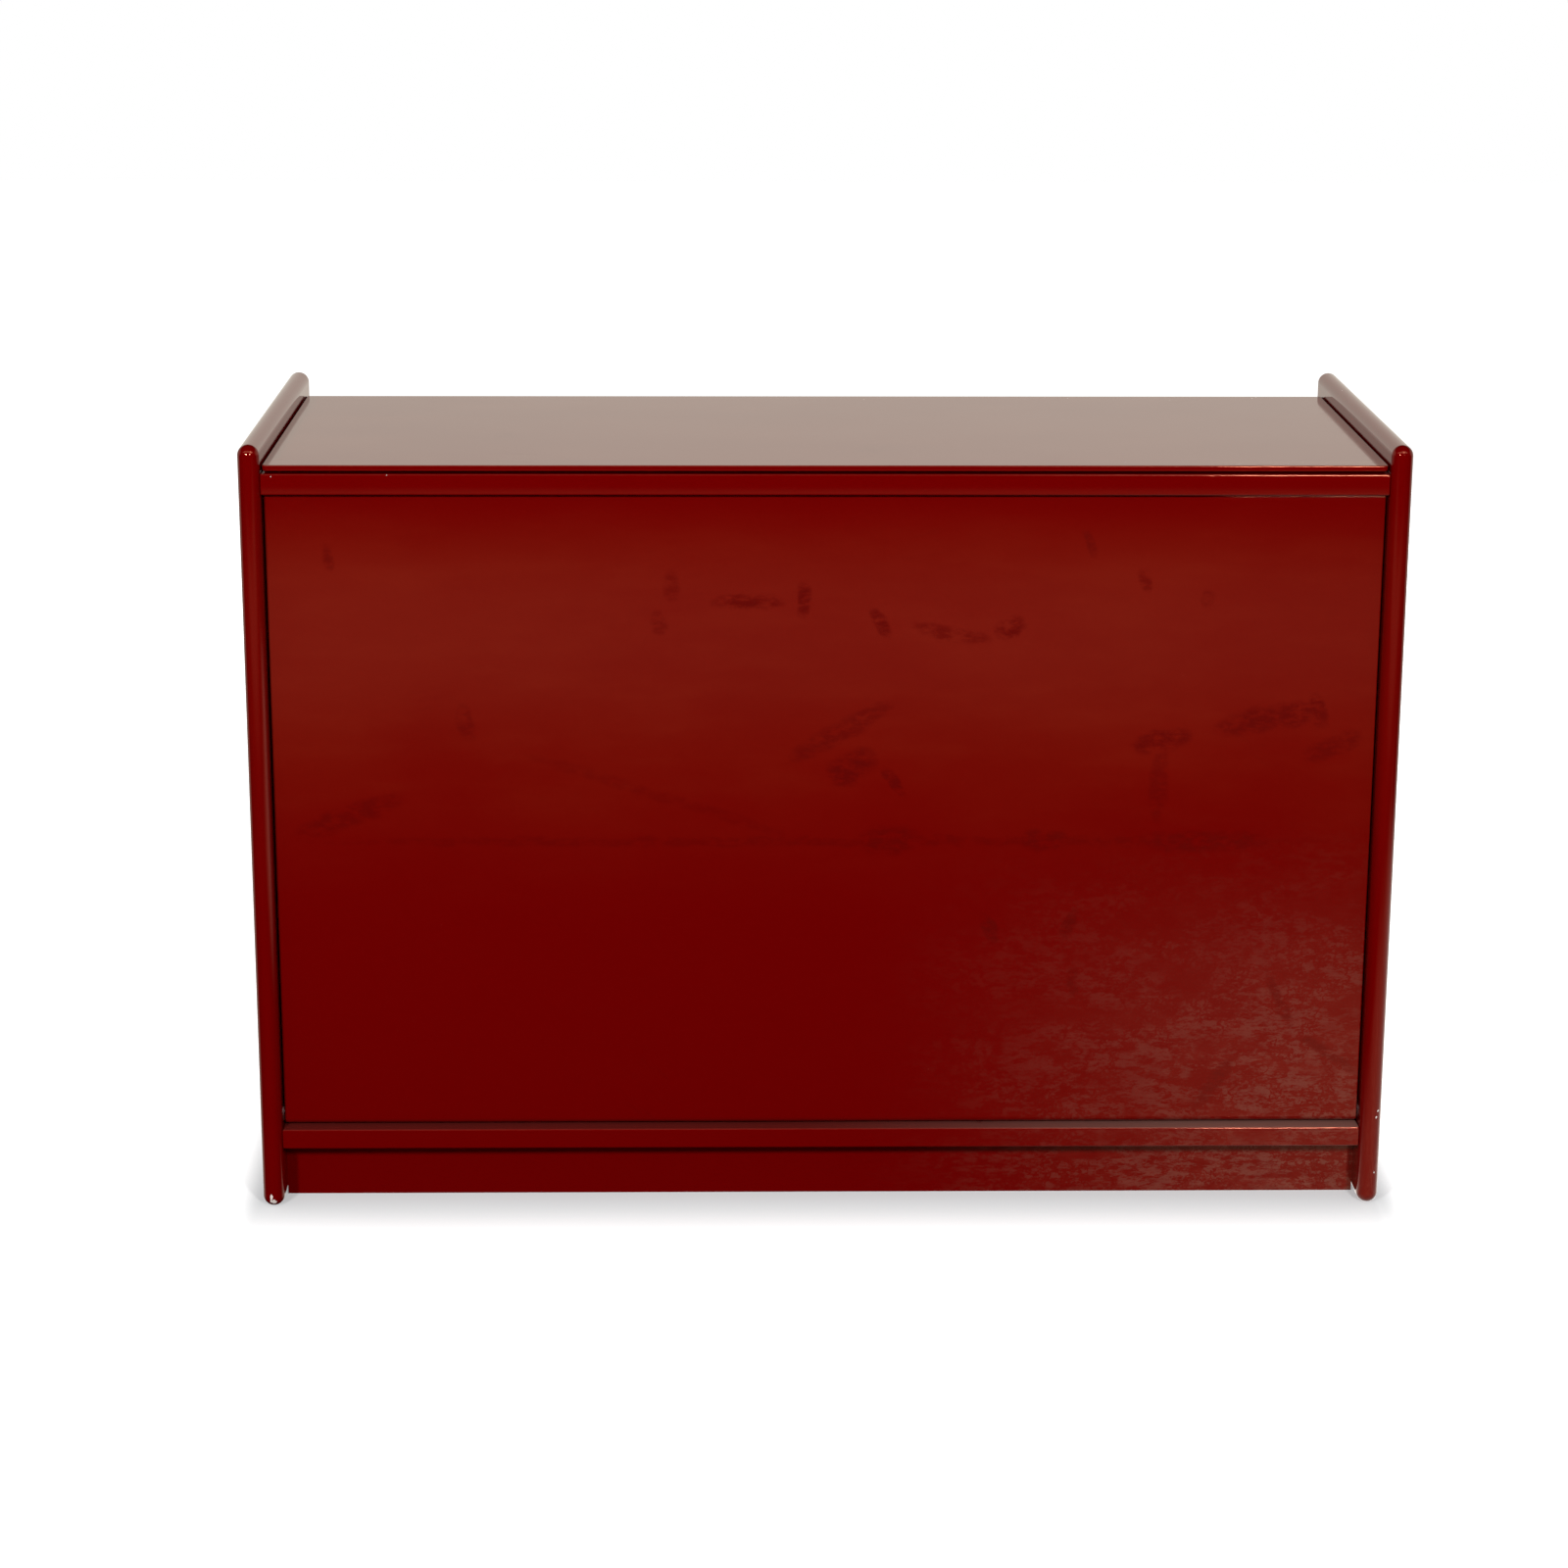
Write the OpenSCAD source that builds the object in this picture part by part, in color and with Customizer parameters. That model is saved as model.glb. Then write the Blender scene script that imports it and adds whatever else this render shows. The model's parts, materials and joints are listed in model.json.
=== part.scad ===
// Low lacquered storage cabinet: two bullnosed cheeks, a lift-up lid and a drop-front flap.
// Millimetres. +Z up, the flap faces -Y, origin on the floor under the middle of the cabinet.

/* [Cabinet] */
// Width over the two cheeks
cabinet_w = 1060; // [900:10:1200]
// Depth of the cheeks
cabinet_d = 435; // [425:1:480]
// Height of the cheeks
cabinet_h = 730; // [700:5:800]
// Thickness of the cheeks, whose edges are full half rounds
cheek_t = 20; // [19:1:24]
// Thickness of the boards between the cheeks
board_t = 19; // [18:0.5:20]
// Height that the cheeks rise above the lid
cheek_rise = 19; // [16:1:30]
// Thickness of the back panel
back_t = 6; // [4:1:8]

/* [Front] */
// Set-back of the rails behind the front of the cheeks
rail_setback = 6.5; // [4:0.5:8]
// Height of the top front rail
rail_h = 19.5; // [18:0.5:22]
// Set-back of the flap's face behind the rails
flap_recess = 10.5; // [9:0.5:12]
// Gap between the flap and the rails above and below it
edge_reveal = 2; // [1.5:0.25:3]
// Gap between a moving board and each cheek
side_reveal = 1.5; // [1.25:0.25:2]
// Height of the plinth
plinth_h = 57; // [50:1:64]
// Set-back of the plinth behind the front of the cheeks
plinth_setback = 37; // [34:1:60]

/* [Lid] */
// Set-back of the lid's front edge behind the front of the cheeks
lid_setback = 9; // [8:0.5:12]
// Thickness of the lip that covers the top front rail
lid_lip_t = 5.5; // [5:0.5:7]
// Gap under the lip
lid_gap = 2; // [1.5:0.25:2.5]
// Space left behind the lid at the back of the cheeks
lid_back_space = 31.5; // [30:0.5:36]
// Angle of the fully open lid
lid_open = 78; // [60:1:80]

/* [Inside] */
// Height of the shelf's underside above the floor
shelf_z = 336; // [320:1:345]
// Angle of the fully open flap
flap_open = 90; // [80:1:90]
// Distance of the flap stays' pivots from the flap's hinge pins
flap_stay_r = 180; // [170:1:185]
// Distance of the lid stays' pivots from the lid's hinge pins
lid_stay_r = 150; // [140:1:155]

/* [Hidden] */
$fn = 64;
lacquer = [0.45, 0.02, 0.02];
steel = [0.72, 0.73, 0.74];
nylon = [0.2, 0.08, 0.08];
beech = [0.8, 0.66, 0.46];
sliver = 0.01; // overshoot of a cutter past the face it opens
past = 1; // overshoot of a cutter past an outer face

// Main planes. y runs backwards from the front of the cheeks
front = -cabinet_d / 2;
inner_w = cabinet_w - 2 * cheek_t;
inner_x = inner_w / 2;
lid_top = cabinet_h - cheek_rise;
floor_top = plinth_h + board_t;
rail_top = lid_top - lid_lip_t - lid_gap;
rail_y = front + rail_setback;
rail_bottom = rail_top - rail_h;
rail_t = 20;
arris = 1.5;
back_inset = 4.5; // back panel's front face, in from the lid's rear edge
carcass_back = front + cabinet_d - lid_back_space - back_inset;

// Flap: it turns on pins at mid thickness, close above the bottom board
flap_y = rail_y + flap_recess;
flap_inner_y = flap_y + board_t;
flap_bottom = floor_top + edge_reveal;
flap_top = rail_bottom - edge_reveal;
flap_axis = [flap_y + board_t / 2, flap_bottom + board_t / 2];
flap_edge_r = 6;
flap_heel = 20; // height above the hinge up to which the flap is drawn with its rounded lower edge

// Lid: it turns on pins inside its rounded rear edge
lid_front = front + lid_setback;
lid_back = front + cabinet_d - lid_back_space;
lid_axis = [lid_back - board_t / 2, lid_top - board_t / 2];
lid_under = lid_top - board_t;
lid_corner_r = 5;
lip_back = rail_y + 22; // the lip reaches back past the rail to here
moving_x = inner_x - side_reveal;

// Rails and panels inside
stop_rail_y = flap_inner_y + 3;
stop_rail_h = 50;
stop_rail_top = lid_under - 2;
stop_rail_bottom = stop_rail_top - stop_rail_h;
plinth_y = front + plinth_setback;
rear_plinth_inset = 10;
rear_plinth_y = carcass_back - rear_plinth_inset - board_t;
block_size = 34;
block_len = 80;
block_x = inner_x - 120;
shelf_play = 1;
shelf_front = flap_inner_y + 9;
shelf_back = carcass_back - shelf_play;

// Hinge pins and their bushes
pin_r = 4;
pin_in_board = 35;
pin_in_cheek = 12;
bush_r = 6;
bush_len = 14;
bush_flange = 3; // flange of a bush, out past its barrel
bush_flange_t = 1;
running_gap = 0.05;

// Dowels: [y, z] on the cheeks' inner faces
dowel_r = 4;
dowel_in_board = 16;
dowel_in_cheek = 11;
dowel_edge = 12; // dowel line in from the edge of a rail
first_dowel = 75;
dowel_step = 90;
rail_dowels = [stop_rail_bottom + dowel_edge, stop_rail_top - dowel_edge];
plinth_dowels = [plinth_h / 3, plinth_h * 2 / 3];
dowel_points = concat(
    [for (k = [0:3]) [front + first_dowel + k * dowel_step, plinth_h + board_t / 2]],
    [[rail_y + rail_t / 2, rail_top - rail_h / 2]],
    [for (z = rail_dowels) [stop_rail_y + board_t / 2, z]],
    [for (z = rail_dowels) [carcass_back - board_t / 2, z]],
    [for (z = plinth_dowels) [plinth_y + board_t / 2, z]],
    [for (z = plinth_dowels) [rear_plinth_y + board_t / 2, z]]);

// Shelf pins: [y, z] of the pins under the shelf
shelf_pin_r = 2.5;
shelf_pin_in = 10; // length of a pin in the cheek
shelf_pin_out = 9; // length of a pin under the shelf
shelf_pin_edge = 50;
shelf_pin_points = [for (y = [shelf_front + shelf_pin_edge, shelf_back - shelf_pin_edge])
                    [y, shelf_z - shelf_pin_r]];

// Stays. A rod pivots on a bracket of the moving board and slides through a swivel guide on the cheek.
// Bracket pin and guide lie at one distance from the hinge, so the rod turns by half the board's angle.
stay_x = inner_x - 14;
rod_r = 2.5;
rod_bore_r = 3;
eye_r = 6;
eye_w = 6;
pivot_r = 3;
lug_t = 5;
lug_x = stay_x - 9;
bracket_reach = 11;
bracket_t = 2.5;
bracket_w = 30;
bracket_l = 22;
bracket_inner = 14; // bracket plate from the lug's middle towards the cabinet's middle
bracket_screw_x = lug_x - 8;
bracket_screw_y = 9;
lug_r = 6;
pin_head = 1.5; // head of a pivot pin, out past its shank
pin_head_t = 2;
eye_play = 0.4; // between an eye and the head of its pin
bracket_off = board_t / 2 + bracket_reach;
guide_r = 8;
guide_w = 12;
spigot_r = 4;
nut_len = 8;
nut_r = 5;
nut_play = 0.6; // between a nut and its guide when the board is fully open
spigot_end = 0.5; // spigot's end, in from the cheek
plate_t = 3;
plate_r = 15;
collar = 2.5; // collar round a stay plate's bore
collar_len = 4;
plate_screw_edge = 4;
screw_r = 1.6;
screw_head_r = 3.4;
screw_head_t = 1.5;
short_screw = 12; // length in the wood
back_screw_len = 24;

// The flap's guide stands 120 degrees round from the open flap, the lid's 40 degrees under the closed lid
flap_guide_angle = 120;
lid_guide_angle = -40;
flap_pin_angle = 90 + asin(bracket_off / flap_stay_r);
lid_pin_angle = -asin(bracket_off / lid_stay_r);

// Point at radius r and angle a from the forward direction, in the y-z plane
function around(centre, r, a) = [centre.x - r * cos(a), centre.y + r * sin(a)];
flap_q = around(flap_axis, flap_stay_r, flap_pin_angle);
flap_p = around(flap_axis, flap_stay_r, flap_guide_angle);
lid_q = around(lid_axis, lid_stay_r, lid_pin_angle);
lid_p = around(lid_axis, lid_stay_r, lid_guide_angle);
function chord(r, a) = 2 * r * abs(sin(a / 2));
flap_reach = chord(flap_stay_r, flap_guide_angle - flap_pin_angle + flap_open);
lid_reach = chord(lid_stay_r, lid_pin_angle - lid_guide_angle + lid_open);
// Angle that turns +Y onto the line from a to b
function bearing(a, b) = atan2(b.y - a.y, b.x - a.x);

// Touch latches in the stop rail
latch_x = inner_x - 80;
latch_z = stop_rail_top - stop_rail_h / 2;
latch_r = 5.5;
latch_len = 42;
latch_flange_r = 9;
plunger_r = 2.5;
plunger_bore_r = 2.6;
plunger_travel = 4;
plunger_in = 20;
latch_flange_t = 1;
strike_r = 8;
strike_in = 1;
strike_proud = 0.3;

// Felt buffers on the stop rail: distances from the middle
buffer_r = 5;
lid_buffer_t = 1.7;
lid_buffer_x = [150, 400];
flap_buffer_x = [150, 350];
flap_buffer_gap = 0.3;

// Back panel screws: [x, z]
back_screw_step = inner_w / 4.5;
back_screw_points = [for (k = [-2:2]) for (z = [plinth_h + board_t / 2, latch_z]) [k * back_screw_step, z]];

// ---------------------------------------------------------------- shared shapes

// Left and right copies of a piece drawn on the right-hand side
module both_sides() {
    children();
    mirror([1, 0, 0]) children();
}

module on_side(side) {
    if (side == "right") children();
    else mirror([1, 0, 0]) children();
}

// Cylinder along X between two x values, centred on a [y, z] point
module x_rod(point, r, x0, x1) {
    translate([x0, point.x, point.y]) rotate([0, 90, 0]) cylinder(r = r, h = x1 - x0);
}

// Cylinder along Y
module y_rod(x, z, r, y0, y1) {
    translate([x, y0, z]) rotate([-90, 0, 0]) cylinder(r = r, h = y1 - y0);
}

// Rectangle with its four corners rounded by true arcs
module soft_rect(w, h, r) {
    translate([r, 0]) square([w - 2 * r, h]);
    translate([0, r]) square([w, h - 2 * r]);
    for (x = [r, w - r]) for (y = [r, h - r]) translate([x, y]) circle(r);
}

// Extrudes a y-z outline along X, centred on the cabinet
module across(width) {
    translate([-width / 2, 0, 0]) rotate([90, 0, 90]) linear_extrude(width) children();
}

// Board between the cheeks with eased long edges and eased ends at its front
module eased_board(width, y, z, depth, height) {
    intersection() {
        across(width) translate([y, z]) soft_rect(depth, height, arris);
        translate([-width / 2, y, z - past]) linear_extrude(height + 2 * past) soft_rect(width, depth, arris);
    }
}

module plain_board(width, y, z, depth, height) {
    translate([-width / 2, y, z]) cube([width, depth, height]);
}

module dowel_set() {
    both_sides() for (p = dowel_points) x_rod(p, dowel_r, inner_x - dowel_in_board, inner_x + dowel_in_cheek);
}

module screw(length) {
    cylinder(r = screw_r, h = length);
    translate([0, 0, length - screw_head_t]) cylinder(r = screw_head_r, h = screw_head_t);
}

// Screws through the back panel into the bottom board and the rear rail
module back_screw_set() {
    for (p = back_screw_points) translate([p.x, carcass_back + back_t - back_screw_len, p.y])
        rotate([-90, 0, 0]) screw(back_screw_len);
}

// Screws through a round stay plate at a guide's centre
module plate_screw_pair(centre) {
    dz = plate_r - plate_screw_edge;
    for (z = [centre.y - dz, centre.y + dz]) translate([inner_x + short_screw, centre.x, z])
        rotate([0, -90, 0]) screw(short_screw + plate_t);
}

module plate_screw_set() {
    both_sides() for (p = [flap_p, lid_p]) plate_screw_pair(p);
}

// Screws that hold a bracket, in the bracket's own frame: z away from the board
module bracket_screw_pair() {
    for (dy = [-1, 1]) translate([bracket_screw_x, dy * bracket_screw_y, -short_screw])
        screw(short_screw + bracket_t);
}

// Bracket with one lug, drawn at x of the right-hand side, standing on z = 0
module bracket_shape() {
    difference() {
        union() {
            translate([lug_x - bracket_inner, -bracket_w / 2, 0]) cube([bracket_l, bracket_w, bracket_t]);
            translate([lug_x - lug_t / 2, -lug_r, 0]) cube([lug_t, 2 * lug_r, bracket_reach]);
            translate([lug_x - lug_t / 2, 0, bracket_reach]) rotate([0, 90, 0])
                cylinder(r = lug_r, h = lug_t);
        }
        translate([lug_x - lug_t, 0, bracket_reach]) rotate([0, 90, 0]) cylinder(r = pivot_r, h = 2 * lug_t);
        bracket_screw_pair();
    }
}

// Puts a bracket's own frame on the flap's inner face or on the lid's underside
module on_flap() {
    translate([0, flap_inner_y, flap_q.y]) rotate([-90, 0, 0]) children();
}

module on_lid() {
    translate([0, lid_q.x, lid_under]) rotate([180, 0, 0]) children();
}

module pivot_pin(point) {
    head_x = stay_x + eye_w / 2 + eye_play;
    x_rod(point, pivot_r, lug_x - lug_t / 2, head_x);
    x_rod(point, pivot_r + pin_head, head_x, head_x + pin_head_t);
}

// Rod of a stay: an eye at q and a shank past p, long enough for the open position
module stay_rod(q, p, reach) {
    translate([stay_x, q.x, q.y]) rotate([bearing(q, p), 0, 0]) difference() {
        union() {
            translate([-eye_w / 2, 0, 0]) rotate([0, 90, 0]) cylinder(r = eye_r, h = eye_w);
            rotate([-90, 0, 0]) cylinder(r = rod_r, h = reach + guide_r + nut_len);
        }
        translate([-eye_w, 0, 0]) rotate([0, 90, 0]) cylinder(r = pivot_r + running_gap, h = 2 * eye_w);
    }
}

module stay_nut(q, p, reach) {
    translate([stay_x, q.x, q.y]) rotate([bearing(q, p), 0, 0]) difference() {
        translate([0, reach + guide_r + nut_play, 0]) rotate([-90, 0, 0]) cylinder(r = nut_r, h = nut_len);
        rotate([-90, 0, 0]) cylinder(r = rod_r, h = reach + 2 * guide_r + 2 * nut_len);
    }
}

module stay_guide(q, p) {
    difference() {
        union() {
            x_rod(p, guide_r, stay_x - guide_w / 2, stay_x + guide_w / 2);
            x_rod(p, spigot_r, stay_x, inner_x - spigot_end);
        }
        translate([stay_x, p.x, p.y]) rotate([bearing(q, p), 0, 0])
            translate([0, -2 * guide_r, 0]) rotate([-90, 0, 0]) cylinder(r = rod_bore_r, h = 4 * guide_r);
    }
}

module stay_plate(p) {
    difference() {
        union() {
            x_rod(p, plate_r, inner_x - plate_t, inner_x);
            x_rod(p, spigot_r + collar, inner_x - plate_t - collar_len, inner_x);
        }
        x_rod(p, spigot_r + running_gap, inner_x - 2 * plate_r, inner_x + sliver);
        plate_screw_pair(p);
    }
}

module bush(point) {
    difference() {
        union() {
            x_rod(point, bush_r, inner_x, inner_x + bush_len);
            x_rod(point, bush_r + bush_flange, inner_x - bush_flange_t, inner_x);
        }
        x_rod(point, pin_r + running_gap, inner_x - bush_flange_t - past, inner_x + bush_len - past);
    }
}

module hinge_pin(point) {
    x_rod(point, pin_r, moving_x - pin_in_board, inner_x + pin_in_cheek);
}

// ---------------------------------------------------------------- carcass

// Solid cheek with half-round edges and ball corners
module cheek_blank() {
    r = cheek_t / 2;
    x = inner_x + r;
    y_ends = [front + r, front + cabinet_d - r];
    z_ends = [r, cabinet_h - r];
    translate([inner_x, y_ends[0], z_ends[0]])
        cube([cheek_t, y_ends[1] - y_ends[0], z_ends[1] - z_ends[0]]);
    for (y = y_ends) translate([x, y, r]) cylinder(r = r, h = z_ends[1] - z_ends[0]);
    for (z = z_ends) y_rod(x, z, r, y_ends[0], y_ends[1]);
    for (y = y_ends) for (z = z_ends) translate([x, y, z]) sphere(r);
}

module cheek() {
    color(lacquer) difference() {
        cheek_blank();
        for (p = [flap_axis, lid_axis]) x_rod(p, bush_r, inner_x - past, inner_x + bush_len);
        for (p = shelf_pin_points) x_rod(p, shelf_pin_r, inner_x - past, inner_x + shelf_pin_in);
        dowel_set();
        plate_screw_set();
    }
}

module left_cheek() {
    mirror([1, 0, 0]) cheek();
}

module right_cheek() {
    cheek();
}

module bottom_board() {
    color(lacquer) difference() {
        eased_board(inner_w, rail_y, plinth_h, carcass_back - rail_y, board_t);
        dowel_set();
        back_screw_set();
    }
}

module top_front_rail() {
    color(lacquer) difference() {
        eased_board(inner_w, rail_y, rail_bottom, rail_t, rail_h);
        dowel_set();
    }
}

module stop_rail() {
    color(lacquer) difference() {
        plain_board(inner_w, stop_rail_y, stop_rail_bottom, board_t, stop_rail_h);
        dowel_set();
        both_sides() y_rod(latch_x, latch_z, latch_r, stop_rail_y - past, stop_rail_y + board_t + past);
    }
}

module top_rear_rail() {
    color(lacquer) difference() {
        plain_board(inner_w, carcass_back - board_t, stop_rail_bottom, board_t, stop_rail_h);
        dowel_set();
        back_screw_set();
    }
}

module back_panel() {
    color(lacquer) difference() {
        plain_board(inner_w, carcass_back, plinth_h, back_t, stop_rail_top - plinth_h);
        back_screw_set();
    }
}

module front_plinth() {
    color(lacquer) difference() {
        plain_board(inner_w, plinth_y, 0, board_t, plinth_h);
        dowel_set();
    }
}

module rear_plinth() {
    color(lacquer) difference() {
        plain_board(inner_w, rear_plinth_y, 0, board_t, plinth_h);
        dowel_set();
    }
}

// Glued blocks in the corners between the plinths and the bottom board
module plinth_blocks() {
    color(beech) both_sides() for (y = [plinth_y + board_t, rear_plinth_y - block_size])
        translate([block_x, y, plinth_h - block_size]) cube([block_len, block_size, block_size]);
}

module shelf() {
    color(lacquer)
        plain_board(inner_w - 2 * shelf_play, shelf_front, shelf_z, shelf_back - shelf_front, board_t);
}

module shelf_pins() {
    color(steel) both_sides() for (p = shelf_pin_points) {
        x_rod(p, shelf_pin_r, inner_x - shelf_pin_out, inner_x + shelf_pin_in);
        x_rod(p, shelf_pin_r + 2, inner_x - 0.8, inner_x);
    }
}

module dowels() {
    color(beech) dowel_set();
}

module lid_bushes() {
    color(nylon) both_sides() bush(lid_axis);
}

module flap_bushes() {
    color(nylon) both_sides() bush(flap_axis);
}

// Felt pads on top of the stop rail that the lid lies on
module lid_buffers() {
    color(nylon) both_sides() for (x = lid_buffer_x)
        translate([x, stop_rail_y + board_t / 2, stop_rail_top]) cylinder(r = buffer_r, h = lid_buffer_t);
}

// Felt pads on the front of the stop rail that the closed flap rests against
module flap_buffers() {
    color(nylon) both_sides() for (x = flap_buffer_x)
        y_rod(x, latch_z, buffer_r, flap_inner_y + flap_buffer_gap, stop_rail_y);
}

module latch_bodies() {
    color("white") both_sides() difference() {
        union() {
            y_rod(latch_x, latch_z, latch_r, stop_rail_y, stop_rail_y + latch_len);
            y_rod(latch_x, latch_z, latch_flange_r, stop_rail_y - latch_flange_t, stop_rail_y);
        }
        y_rod(latch_x, latch_z, plunger_bore_r, stop_rail_y - latch_flange_t - past,
              stop_rail_y + plunger_in + plunger_travel + past);
    }
}

module flap_stay_plates() {
    color(steel) both_sides() stay_plate(flap_p);
}

module lid_stay_plates() {
    color(steel) both_sides() stay_plate(lid_p);
}

module plate_screws() {
    color(steel) plate_screw_set();
}

module back_screws() {
    color(steel) back_screw_set();
}

// ---------------------------------------------------------------- lid

// Side outline of the lid: lip over the front rail, full board, rounded rear edge around the hinge
module lid_outline() {
    translate([lid_front, lid_top - lid_lip_t]) soft_rect(lip_back - lid_front + 2 * arris, lid_lip_t, arris);
    translate([lip_back, lid_under]) square([lid_axis.x - lip_back, board_t]);
    translate(lid_axis) circle(board_t / 2);
}

module lid() {
    color(lacquer) difference() {
        intersection() {
            across(2 * moving_x) lid_outline();
            translate([-moving_x, lid_front, lid_under - past]) linear_extrude(board_t + 2 * past)
                soft_rect(2 * moving_x, lid_back - lid_front, lid_corner_r);
        }
        both_sides() hinge_pin(lid_axis);
        both_sides() on_lid() bracket_screw_pair();
    }
}

module lid_pins() {
    color(steel) both_sides() hinge_pin(lid_axis);
}

module lid_brackets() {
    color(steel) both_sides() on_lid() bracket_shape();
}

module lid_bracket_screws() {
    color(steel) both_sides() on_lid() bracket_screw_pair();
}

module lid_pivot_pins() {
    color(steel) both_sides() pivot_pin(lid_q);
}

// ---------------------------------------------------------------- flap

// Side outline of the flap: well rounded lower edge, eased upper edge
module flap_outline() {
    mid = flap_axis.y + flap_heel;
    translate([flap_y, flap_bottom]) soft_rect(board_t, mid - flap_bottom + flap_edge_r, flap_edge_r);
    translate([flap_y, mid - arris]) soft_rect(board_t, flap_top - mid + arris, arris);
}

module flap() {
    color(lacquer) difference() {
        intersection() {
            across(2 * moving_x) flap_outline();
            translate([-moving_x, flap_y - past, flap_bottom]) rotate([90, 0, 0]) mirror([0, 0, 1])
                linear_extrude(board_t + 2 * past) soft_rect(2 * moving_x, flap_top - flap_bottom, arris);
        }
        both_sides() hinge_pin(flap_axis);
        both_sides() on_flap() bracket_screw_pair();
        both_sides() y_rod(latch_x, latch_z, strike_r, flap_inner_y - strike_in, flap_inner_y + past);
    }
}

module flap_pins() {
    color(steel) both_sides() hinge_pin(flap_axis);
}

module flap_brackets() {
    color(steel) both_sides() on_flap() bracket_shape();
}

module flap_bracket_screws() {
    color(steel) both_sides() on_flap() bracket_screw_pair();
}

module flap_pivot_pins() {
    color(steel) both_sides() pivot_pin(flap_q);
}

// Steel discs let into the flap where the latches push
module strike_plates() {
    color(steel) both_sides()
        y_rod(latch_x, latch_z, strike_r, flap_inner_y - strike_in, flap_inner_y + strike_proud);
}

// ---------------------------------------------------------------- stays and latches

module flap_rod(side) {
    color(steel) on_side(side) stay_rod(flap_q, flap_p, flap_reach);
}

module flap_nut(side) {
    color(steel) on_side(side) stay_nut(flap_q, flap_p, flap_reach);
}

module flap_guide(side) {
    color("dimgray") on_side(side) stay_guide(flap_q, flap_p);
}

module lid_rod(side) {
    color(steel) on_side(side) stay_rod(lid_q, lid_p, lid_reach);
}

module lid_nut(side) {
    color(steel) on_side(side) stay_nut(lid_q, lid_p, lid_reach);
}

module lid_guide(side) {
    color("dimgray") on_side(side) stay_guide(lid_q, lid_p);
}

module latch_plunger(side) {
    color("white") on_side(side)
        y_rod(latch_x, latch_z, plunger_r, flap_inner_y + 2 * strike_proud, stop_rail_y + plunger_in);
}

left_cheek();
right_cheek();
bottom_board();
top_front_rail();
stop_rail();
top_rear_rail();
back_panel();
front_plinth();
rear_plinth();
plinth_blocks();
shelf();
shelf_pins();
dowels();
lid_bushes();
flap_bushes();
lid_buffers();
flap_buffers();
latch_bodies();
flap_stay_plates();
lid_stay_plates();
plate_screws();
back_screws();
lid();
lid_pins();
lid_brackets();
lid_bracket_screws();
lid_pivot_pins();
flap();
flap_pins();
flap_brackets();
flap_bracket_screws();
flap_pivot_pins();
strike_plates();
flap_rod("left");  // flap_rod_left
flap_nut("left");  // flap_nut_left
flap_guide("left");  // flap_guide_left
flap_rod("right");  // flap_rod_right
flap_nut("right");  // flap_nut_right
flap_guide("right");  // flap_guide_right
lid_rod("left");  // lid_rod_left
lid_nut("left");  // lid_nut_left
lid_guide("left");  // lid_guide_left
lid_rod("right");  // lid_rod_right
lid_nut("right");  // lid_nut_right
lid_guide("right");  // lid_guide_right
latch_plunger("left");  // latch_plunger_left
latch_plunger("right");  // latch_plunger_right
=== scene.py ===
"""Low storage cabinet in red lacquer, with a lift-up top and a drop front."""

import json
import logging
import math
from collections.abc import Callable
from dataclasses import dataclass
from enum import Enum

import bmesh
import bpy
from mathutils import Matrix, Vector


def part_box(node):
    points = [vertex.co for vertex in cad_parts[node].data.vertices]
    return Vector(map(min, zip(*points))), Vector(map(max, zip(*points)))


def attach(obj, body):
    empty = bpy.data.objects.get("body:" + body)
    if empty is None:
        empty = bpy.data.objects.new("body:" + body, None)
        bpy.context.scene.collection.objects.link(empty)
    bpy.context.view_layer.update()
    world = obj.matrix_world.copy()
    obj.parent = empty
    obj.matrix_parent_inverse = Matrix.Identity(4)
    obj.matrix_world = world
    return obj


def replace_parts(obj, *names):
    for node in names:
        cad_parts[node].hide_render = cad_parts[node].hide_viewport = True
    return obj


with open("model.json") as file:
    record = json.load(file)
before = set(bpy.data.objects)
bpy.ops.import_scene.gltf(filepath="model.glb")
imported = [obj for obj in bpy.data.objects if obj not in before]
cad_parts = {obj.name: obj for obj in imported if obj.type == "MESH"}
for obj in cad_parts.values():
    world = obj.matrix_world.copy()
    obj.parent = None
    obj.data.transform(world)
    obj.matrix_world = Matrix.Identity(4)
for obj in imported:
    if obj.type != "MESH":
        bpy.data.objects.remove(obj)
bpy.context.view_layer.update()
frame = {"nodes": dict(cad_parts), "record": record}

log = logging.getLogger("cabinet")

Triple = tuple[float, float, float]
Colour = Triple
MM = 0.001
NEAR = 1e-6  # metres within which two places count as one


class Slot(Enum):
    """Material slots of the record."""

    RED_LACQUER = "red_lacquer"
    RED_INSIDE = "red_inside"
    BEECH = "beech"
    NYLON = "nylon"
    FELT = "felt"
    WHITE_PLASTIC = "white_plastic"
    STEEL = "steel"
    ZINC = "zinc"


class Tone(Enum):
    """Colours that more than one finish uses."""

    DEEP_RED = (0.104, 0.0001, 0.0002)
    SMEAR_RED = (0.080, 0.0001, 0.0002)
    # paler, greyer red over a middle band: hand grease with a painted reflection of the floor
    HAZE_RED = (0.128, 0.0046, 0.0017)
    # paler top face of the lid: a painted sheen of the bright room
    DUSTY_RED = (0.160, 0.034, 0.022)
    # paler streaks at the lower right: kick and mop marks with a painted sheen of the floor
    SCUFFED_RED = (0.135, 0.040, 0.028)
    # paler top edge of the bottom board, growing to the right: dust with a painted reflection
    LINT_RED = (0.190, 0.085, 0.068)
    RUBBED_RED = (0.20, 0.030, 0.020)
    PRIMER = (0.62, 0.56, 0.52)
    SATIN_RED = (0.125, 0.0028, 0.0022)


# ---------------------------------------------------------------- node trees


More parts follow.
